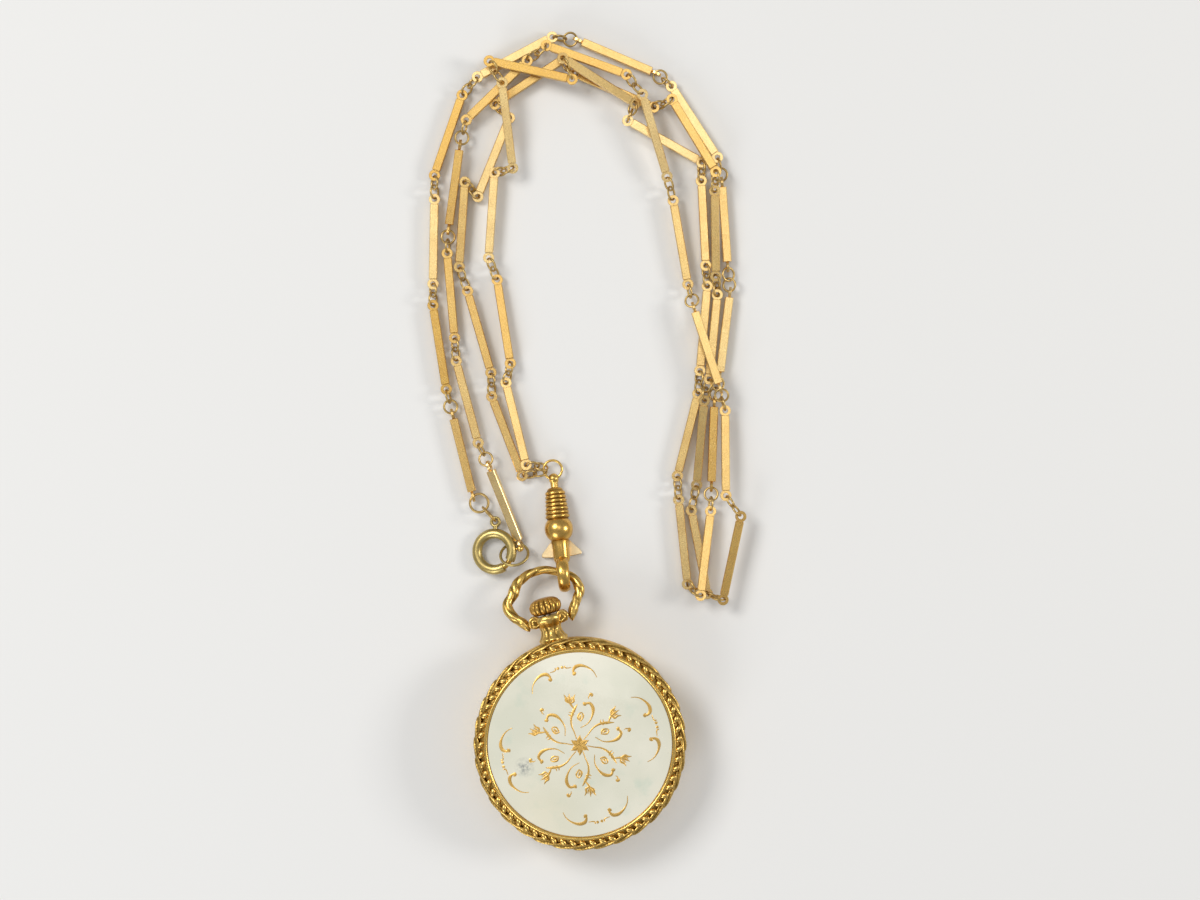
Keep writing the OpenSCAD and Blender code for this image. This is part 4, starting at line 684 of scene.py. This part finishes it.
# Hook: an oval wire bent round the bow, from the collar at -3 degrees to its tip at 244 degrees.
hook_bend = 2.25
v = np.linspace(-3, 244, 60)
w = np.interp(v, [-3, 10, 60, 140, 200, 236, 244], [0.85, 0.97, 1.0, 0.95, 0.86, 0.74, 0.45])
h = np.interp(v, [-3, 0, 60, 200, 236, 244], [0.6, 0.7, 0.66, 0.64, 0.58, 0.35])
v = np.radians(v)
hook_line = on_swivel(np.stack([hook_bend * np.cos(v), 0 * v, hook_bend * np.sin(v)], -1))
hook = capped(carried(hook_line, oval(20)[None] * np.stack([h, w], -1)[:, None], left_way))
piece("swivel_hook", [(barrel, False), (hook, False)], "swivel", swivel_gold, ["swivel_body"],
      crease=55, hollow=[barrel_hollow, np.zeros(hook.shape[:2])])
for node in ("swivel_eye", "swivel_ring"):
    dress(node, plain_gold)
steel_pin = gilded("steel_pin", (0.52, 0.50, 0.46), (0.16, 0.14, 0.12), 0.28, 0.4, 0.3)
dress("gate_pin", steel_pin)

# Swivel gate
# A bent strip of pale gilt spring sheet that closes the hook from below, with a triangular thumb
# wing on each side.
pale_gold = gilded("pale_gold", (0.86, 0.68, 0.40), (0.42, 0.28, 0.10), 0.34, 0.35, 0.4)
lever_path = [(-0.5, 0, -2.3), (0.6, 0, -2.28), (2.4, 0, -2.2), (4.2, 0, -2.1), (5.2, 0, -1.7),
              (5.75, 0, -1.1)]
lever_path = on_swivel(smooth(lever_path, 24))
strip = np.array([(0.40, -0.16), (0.34, -0.22), (-0.34, -0.22), (-0.40, -0.16), (-0.40, 0.16),
                  (-0.34, 0.22), (0.34, 0.22), (0.40, 0.16)])
lever = capped(carried(lever_path, strip, over_way))
# Wing: its flat outline at four levels, drawn in a little at the top and the bottom one.
edge = np.array([(6.05, 0.32), (6.0, 0.95), (4.75, 2.1), (3.62, 3.1), (3.35, 3.18),
                 (3.1, 3.1), (2.95, 1.9), (2.85, 0.3)])
level, inset = np.array([(-2.36, 0.06), (-2.32, 0), (-2.12, 0), (-2.06, 0.06)]).T[..., None]
flat = edge.mean(0) + (edge - edge.mean(0)) * (1 - inset[..., None])
wing = np.concatenate([flat, np.broadcast_to(level[..., None], flat.shape[:2] + (1,))], -1)
wings = [(capped(on_swivel(wing * (1, s, 1))), False) for s in (-1, 1)]
piece("gate_wings", [(lever, False)] + wings, "gate", pale_gold, ["swivel_gate"],
      crease=30)

# Chain
# Two halves of square gilt bars, each with a flattened eyelet at both ends, joined by pairs of
# small brass rings, which come from the CAD. They lie as dropped, here and there across each other.
bar_len, bar_half = 13.4, 0.65
link_wire, clasp_ring_r, clasp_wire, ring_play = 0.17, 1.45, 0.2, 0.22
low = 1.2
# Each link is [way of its rings, their span, way of the bar, roll of the bar, height of the bar's
# start, height of its end], with ways from the photograph's cross line. The rows repeat those of
# the part's source: read off the photograph, then changed by scratch scripts to clear overlaps.
outer_half = [
    [172, 3.516, 104, 0, 2.2, 1.08], [77, 3.207, 99, 0, 1.7, low], [111, 3.751, 86, 0, 1.76, 2.11],
    [14, 3.054, 97, 0, 2.75, 4.04], [120, 4.12, -12.9, 0, 3.46, 4.23],
    [114.18, 3.6, -31, 0, 4.7, 2.7], [-113.16, 3.001, -29, 0, 1.68, 1.08],
    [-91, 2.999, -87, 0, 1.09, 1.14], [-86, 3.293, -95, 0, 1.14, low],
    [-95, 3.7, -104, 0, low, low], [-87, 3.8, -84, 0, low, low], [-40, 3.318, 83, 0, 3.22, 1.82],
    [87.99, 3.968, 88, 90, low, low], [78, 4.099, 83, 90, low, low], [95, 4.1, 94, 90, low, low],
    [100, 4, 123, 0, low, low], [140, 3.2, 157, 90, low, low], [173, 4.1, 208, 0, low, low],
    [-130, 3.8, 251, 0, low, low], [-90, 3.8, 269, 0, low, low], [-90, 3.4, 279, 0, low, low],
    [-76, 4.1, 284, 90, low, low]]
inner_half = [
    [189, 4.105, 111, 0, 1.08, 1.14], [92, 3.8, 106, 0, low, low], [109, 4.102, 86, 0, 1.08, 1.7],
    [-48, 3.077, 68, 0, 1.08, 1.54], [136, 3.241, 33, 0, 1.08, 1.7],
    [-58, 3.056, -23, 0, low, low], [20, 3.345, -59, 0, 2.68, 3.38],
    [-93.14, 2.995, -89, 0, 2.96, 1.84], [-84.85, 3.012, -95.5, 0, low, low],
    [-103.43, 3.708, -95, 0, 2.22, low], [-101.62, 4.108, -79.2, 0, 1.08, 1.08],
    [-19.56, 3.311, 78, 0, 3.19, 3.45], [125.09, 4.092, 90.35, 0, 2.78, 2.05],
    [103.75, 3.872, 108, 90, 3.39, 2.89], [103, 4.12, 100, 0, 1.43, 1.7],
    [105, 3.961, 107, 0, 2.6, 4.05], [128, 4.12, 160, 0, 3.61, 3.26],
    [-144, 3.928, 224, 0, 2.24, 1.83], [-104, 4.107, -98, 90, 1.86, low],
    [-93, 3.816, -85, 0, low, low], [-86, 3.7, -75, 0, low, low],
    [-64.2, 4.1, -68.4, 105, 1.8, 1.04]]
eye_at = hook_at + swivel_len * out_way
ring_at = eye_at + clasp_ring_r * np.array((math.cos(swivel_way), math.sin(swivel_way), 0))


def stepped(length, way, rise):
    """Step of a length along a way seen from above, with a rise in it."""
    run = math.sqrt(length * length - rise * rise)
    a = math.radians(way) - turn
    return np.array((run * math.cos(a), run * math.sin(a), rise))


def bars_of(links, leave):
    """Start, end and roll of each bar, one after another from the swivel's ring, which the first
    ring leaves in the way given."""
    here = ring_at + stepped(clasp_ring_r - clasp_wire - link_wire - ring_play, leave, 0)
    found = []
    for ring_way, span, way, roll, start_z, end_z in links:
        start = here + stepped(span, ring_way, start_z - here[2])
        here = start + stepped(bar_len, way, end_z - start_z)
        found.append((start, here, math.radians(roll)))
    return found


bars = bars_of(outer_half, 160) + bars_of(inner_half, 202)
starts, ends, rolls = (np.array(v, float) for v in zip(*bars))
x_way = unit(ends - starts)
y_way = unit(np.cross((0, 0, 1), x_way))
z_way = np.cross(x_way, y_way)
c, s = np.cos(rolls)[:, None], np.sin(rolls)[:, None]
axes = np.stack([x_way, y_way * c + z_way * s, z_way * c - y_way * s], 1)


def on_bars(grid):
    """Copies of a grid, one laid on each bar from its start to its end."""
    return np.einsum("...j,njk->n...k", grid, axes) + starts[:, None, None]


# Bar: an eight-cornered section with narrow chamfers, a little smaller at both square ends. The
# eyelets are flat washers of the same section.
body_from, end_bevel, chamfer_at = 0.78, 0.06, 0.85
body_to = bar_len - body_from
x = np.array([body_from, body_from + end_bevel, 1.2, *np.linspace(2.2, 11.2, 10), 12.2,
              body_to - end_bevel, body_to])
half = np.full(len(x), bar_half)
half[[0, -1]] -= end_bevel
k = chamfer_at
corner = np.array([(1, -k), (1, k), (k, 1), (-k, 1), (-1, k), (-1, -k), (-k, -1), (k, -1)])
bar_body = np.concatenate([np.broadcast_to(x[:, None, None], (len(x), 8, 1)),
                           half[:, None, None] * corner], -1)
washer_at, washer_size = 0.655, (0.24, 0.215)
shells = [capped(bar_body)] + [turned(corner * washer_size + (washer_at, 0), 18,
                                      middle=(end, 0, 0)) for end in (0, bar_len)]
laid = [on_bars(g) for g in shells]
tag_step = np.array((0, 7.3, 3.1))
tag = np.arange(len(bars))[:, None, None, None] * tag_step
own = [g + tag for g in shells]


def bar_gold():
    """Gilt bars: brushed along their length, with bright rubbed streaks and redder patches. Each
    is a little lighter or darker than the next, from the step in its own coordinates."""
    made, tree, shader = material("bar_gold")
    own = put(tree, "ShaderNodeAttribute", attribute_name="own").outputs["Vector"]
    parts = put(tree, "ShaderNodeSeparateXYZ", {0: own})
    drawn = put(tree, "ShaderNodeMapping", {"Vector": own, "Scale": (1.6, 6.0, 6.0)}).outputs[0]
    grain = noise(tree, drawn, 1.6, 4, 0.65)
    bark = noise(tree, own, 5.5, 3, 0.6)
    cloud = between(tree, noise(tree, own, 0.35, 3), 0.35, 0.7)
    steps = put(tree, "ShaderNodeMath", {0: parts.outputs["Y"], 1: tag_step[1]},
                operation="DIVIDE")
    number = put(tree, "ShaderNodeMath", {0: steps.outputs[0]}, operation="ROUND")
    which = put(tree, "ShaderNodeTexWhiteNoise", {"W": number.outputs[0]},
                noise_dimensions="1D").outputs["Value"]
    colour = blend_colour(tree, which, (0.74, 0.46, 0.12, 1), (1.0, 0.76, 0.36, 1))
    colour = blend_colour(tree, times(tree, cloud, 0.3), colour, (0.62, 0.33, 0.09, 1))
    colour = blend_colour(tree, between(tree, grain, 0.5, 0.8, 0, 0.3), colour,
                          (0.98, 0.80, 0.50, 1))
    tree.links.new(colour, shader.inputs["Base Color"])
    tree.links.new(between(tree, grain, 0.25, 0.8, 0.34, 0.22), shader.inputs["Roughness"])
    height = put(tree, "ShaderNodeMath", {0: grain, 1: 0.6, 2: bark}, operation="MULTIPLY_ADD")
    bump = put(tree, "ShaderNodeBump", {"Strength": 0.28, "Distance": 0.00003,
                                        "Height": height.outputs[0]})
    tree.links.new(bump.outputs[0], shader.inputs["Normal"])
    shader.inputs["Metallic"].default_value = 1.0
    return made


piece("chain_links", [(g, i > 0) for i, g in enumerate(laid)], "chain", bar_gold(),
      ["chain_bars"], own=own, crease=20)
ring_brass = gilded("ring_brass", (0.62, 0.44, 0.17), (0.24, 0.15, 0.05), 0.30, 0.5, 0.4)
dress("chain_rings", ring_brass)
dress("clasp_rings", ring_brass)

# Spring ring clasp
# A hollow brass ring, duller and greener than the chain, with a sprung bolt that slides back on its
# thumb ball, and a soldered eye. A plain jump ring hangs in it.
clasp_brass = gilded("clasp_brass", (0.54, 0.42, 0.16), (0.24, 0.17, 0.06), 0.30, 0.5, 0.35)
dress("spring_ring", clasp_brass)
dress("jump_ring", clasp_brass)
dress("spring_ring_bolt", plain_gold)

# Crystal
# A clear domed glass snapped into the bezel, which nearly touches the table.
glass, tree, shader = material("clear_crystal")
shader.inputs["Base Color"].default_value = (0.97, 0.99, 0.98, 1)
shader.inputs["Transmission Weight"].default_value = 1.0
shader.inputs["IOR"].default_value = 1.5
tree.links.new(between(tree, noise(tree, millimetres(tree), 3.0, 3), 0.5, 0.8, 0.0, 0.06),
               shader.inputs["Roughness"])
dress("crystal", glass)

# Dial
# White fired enamel on copper, with a painted minute track and plain black hour numbers that face
# down to the table.
dial_white, tree, shader = material("dial_white")
at = millimetres(tree)
body = blend_colour(tree, between(tree, noise(tree, at, 0.12, 3), 0.35, 0.65),
                    (0.82, 0.81, 0.75, 1), (0.88, 0.87, 0.82, 1))
tree.links.new(body, shader.inputs["Base Color"])
tree.links.new(between(tree, noise(tree, at, 1.2, 3), 0.3, 0.7, 0.12, 0.22),
               shader.inputs["Roughness"])
shader.inputs["Coat Weight"].default_value = 0.3
dress("dial", dial_white)
black_paint, tree, shader = material("black_paint")
tree.links.new(blend_colour(tree, noise(tree, millimetres(tree), 3.0, 3), (0.012, 0.012, 0.014, 1),
                            (0.04, 0.038, 0.035, 1)), shader.inputs["Base Color"])
shader.inputs["Roughness"].default_value = 0.35
# Track: two thin rings, with sixty fine lines between them and a bold one at each hour. The paint
# goes as far into the enamel as it stands out of it.
dial_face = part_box("dial")[0][2] * 1000
paint_half, ring_half = 0.02, 0.045
track_radii = (12.55, 11.95)
paint_out, paint_in = dial_face - paint_half, dial_face + paint_half
tracks = [(turned([(r - ring_half, paint_out), (r + ring_half, paint_out),
                   (r + ring_half, paint_in), (r - ring_half, paint_in)], 120), True)
          for r in track_radii]
far, near = track_radii[0] - 0.03, track_radii[1] + 0.03
for count, w in ((60, 0.035), (12, 0.10)):
    tick = np.array([[(near, -w, z), (near, w, z), (far, w, z), (far, -w, z)]
                     for z in (paint_out + 0.002, paint_in)])
    tracks.append((spun(capped(tick), np.arange(count) * 2 * np.pi / count + np.pi / 2), False))
piece("dial_track", tracks, "case", black_paint, crease=30)
# Hour numbers, mirrored because they are read from below.
number_high, number_at = 0.0031, 0.0102
numbers = []
for hour in range(1, 13):
    curve = bpy.data.curves.new("hour", "FONT")
    curve.body = str(hour)
    curve.size = number_high
    curve.extrude = paint_half * 0.001
    curve.align_x = "CENTER"
    curve.align_y = "CENTER"
    text = bpy.data.objects.new("hour", curve)
    scene.collection.objects.link(text)
    shown = text.evaluated_get(bpy.context.evaluated_depsgraph_get())
    mesh = bpy.data.meshes.new_from_object(shown)
    a = hour * math.pi / 6
    size = len(mesh.vertices)
    co = np.empty(size * 3)
    mesh.vertices.foreach_get("co", co)
    co = co.reshape(-1, 3)
    co = np.stack([-(co[:, 0] + math.sin(a) * number_at), co[:, 1] + math.cos(a) * number_at,
                   dial_face * 0.001 - co[:, 2]], -1)
    numbers.append((co, [tuple(f.vertices) for f in mesh.polygons]))
    bpy.data.objects.remove(text)
mesh = bpy.data.meshes.new("dial_numbers")
shift = np.cumsum([0] + [len(co) for co, _ in numbers])
mesh.from_pydata(np.concatenate([co for co, _ in numbers]).tolist(), [],
                 [tuple(v + int(shift[i]) for v in f) for i, (_, fs) in enumerate(numbers)
                  for f in fs])
placed("dial_numbers", mesh, "case", black_paint, ())

# Plates, bridges and wheels
# The movement is nickelled brass with a straight grain on the bridges, a frosted main plate, gilt
# wheels with a turned grain, polished steel and blued screws. It shows when the back is lifted.


def grain_group(name, turned_grain):
    """Shared effect of a machined grain: straight scratches along X, or rings round the middle.
    Vector is in millimetres, from the middle of the piece."""
    group, given, out = metal_group(name, (("Vector", "Vector"), ("Colour", "Color"),
                                           ("Roughness", "Float"), ("Depth", "Float")))
    if turned_grain:
        flat = put(group, "ShaderNodeVectorMath", {0: given["Vector"], 1: (1.0, 1.0, 0.0)},
                   operation="MULTIPLY").outputs[0]
        far = put(group, "ShaderNodeVectorMath", {0: flat}, operation="LENGTH").outputs["Value"]
        lines = put(group, "ShaderNodeTexNoise", {"W": times(group, far, 6.0), "Detail": 3.0,
                                                  "Scale": 1.0}, noise_dimensions="1D")
        lines = lines.outputs["Fac"]
    else:
        drawn = put(group, "ShaderNodeMapping", {"Vector": given["Vector"],
                                                 "Scale": (0.5, 9.0, 3.0)}).outputs[0]
        lines = noise(group, drawn, 1.0, 4, 0.6)
    cloud = noise(group, given["Vector"], 0.5, 3)
    colour = blend_colour(group, 1.0, given["Colour"], between(group, lines, 0.3, 0.7, 0.82, 1.12),
                          "MULTIPLY")
    colour = blend_colour(group, between(group, cloud, 0.45, 0.75, 0, 0.4), colour,
                          blend_colour(group, 1.0, given["Colour"], (0.6, 0.52, 0.4, 1),
                                       "MULTIPLY"))
    rough = put(group, "ShaderNodeMath", {0: lines, 1: 0.16, 2: given["Roughness"]},
                operation="MULTIPLY_ADD")
    bump = put(group, "ShaderNodeBump", {"Strength": given["Depth"], "Distance": 0.00002,
                                         "Height": lines})
    group.links.new(colour, out["Colour"])
    group.links.new(rough.outputs[0], out["Roughness"])
    group.links.new(bump.outputs[0], out["Normal"])
    return group


straight_grain = grain_group("straight_grain", False)
ring_grain = grain_group("ring_grain", True)


def machined(name, group, colour, rough, depth=0.3, middle=(0, 0), angle=0.0):
    """Metal with one of the two grains, turned by an angle, about a middle in millimetres."""
    made, tree, shader = material(name)
    vector = put(tree, "ShaderNodeMapping", {"Vector": millimetres(tree),
                                             "Location": (-middle[0], -middle[1], 0),
                                             "Rotation": (0, 0, angle)}).outputs[0]
    as_metal(tree, shader, group, {"Vector": vector, "Colour": (*colour, 1),
                                   "Roughness": rough, "Depth": depth})
    return made


def middle_of(node):
    """Middle of a node's box, in millimetres."""
    lo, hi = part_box(node)
    return [(lo[i] + hi[i]) * 500 for i in (0, 1)]


dress("mainplate", gilded("frosted_plate", (0.62, 0.58, 0.48), (0.40, 0.34, 0.24), 0.42, 0.3, 0.7))
nickel = (0.66, 0.63, 0.56)
for node, angle in (("barrel_bridge", 0.5), ("train_bridge", 0.5), ("balance_cock", 1.2),
                    ("pallet_bridge", -0.6)):
    dress(node, machined("grain_" + node, straight_grain, nickel, 0.22, 0.35, angle=angle))
wheel_gold = (0.74, 0.55, 0.24)
for node in ("barrel", "barrel_cover", "centre_wheel", "third_wheel", "fourth_wheel",
             "minute_wheel", "hour_wheel", "balance_wheel"):
    dress(node, machined("grain_" + node, ring_grain, wheel_gold, 0.20, 0.3, middle_of(node)))
polished = (0.58, 0.58, 0.58)
for node in ("escape_wheel", "ratchet_wheel", "crown_wheel", "cannon_pinion", "balance_staff",
             "barrel_arbor", "mainspring"):
    dress(node, machined("grain_" + node, ring_grain, polished, 0.16, 0.3, middle_of(node)))
for node in ("winding_stem", "winding_pinion", "sliding_pinion", "setting_lever", "yoke", "click",
             "click_spring", "pallet_fork", "regulator"):
    dress(node, machined("grain_" + node, straight_grain, polished, 0.20, 0.25))
blued = (0.045, 0.075, 0.24)
for node in ("case_screws", "bridge_screws", "ratchet_screw", "crown_wheel_screw", "hour_hand",
             "minute_hand", "hairspring"):
    dress(node, machined("blued_" + node, straight_grain, blued, 0.16, 0.15))
ruby, tree, shader = material("ruby")
tree.links.new(blend_colour(tree, noise(tree, millimetres(tree), 2.0, 2), (0.50, 0.01, 0.05, 1),
                            (0.72, 0.04, 0.12, 1)), shader.inputs["Base Color"])
shader.inputs["Roughness"].default_value = 0.06
shader.inputs["IOR"].default_value = 1.76
dress("bearing_jewels", ruby)
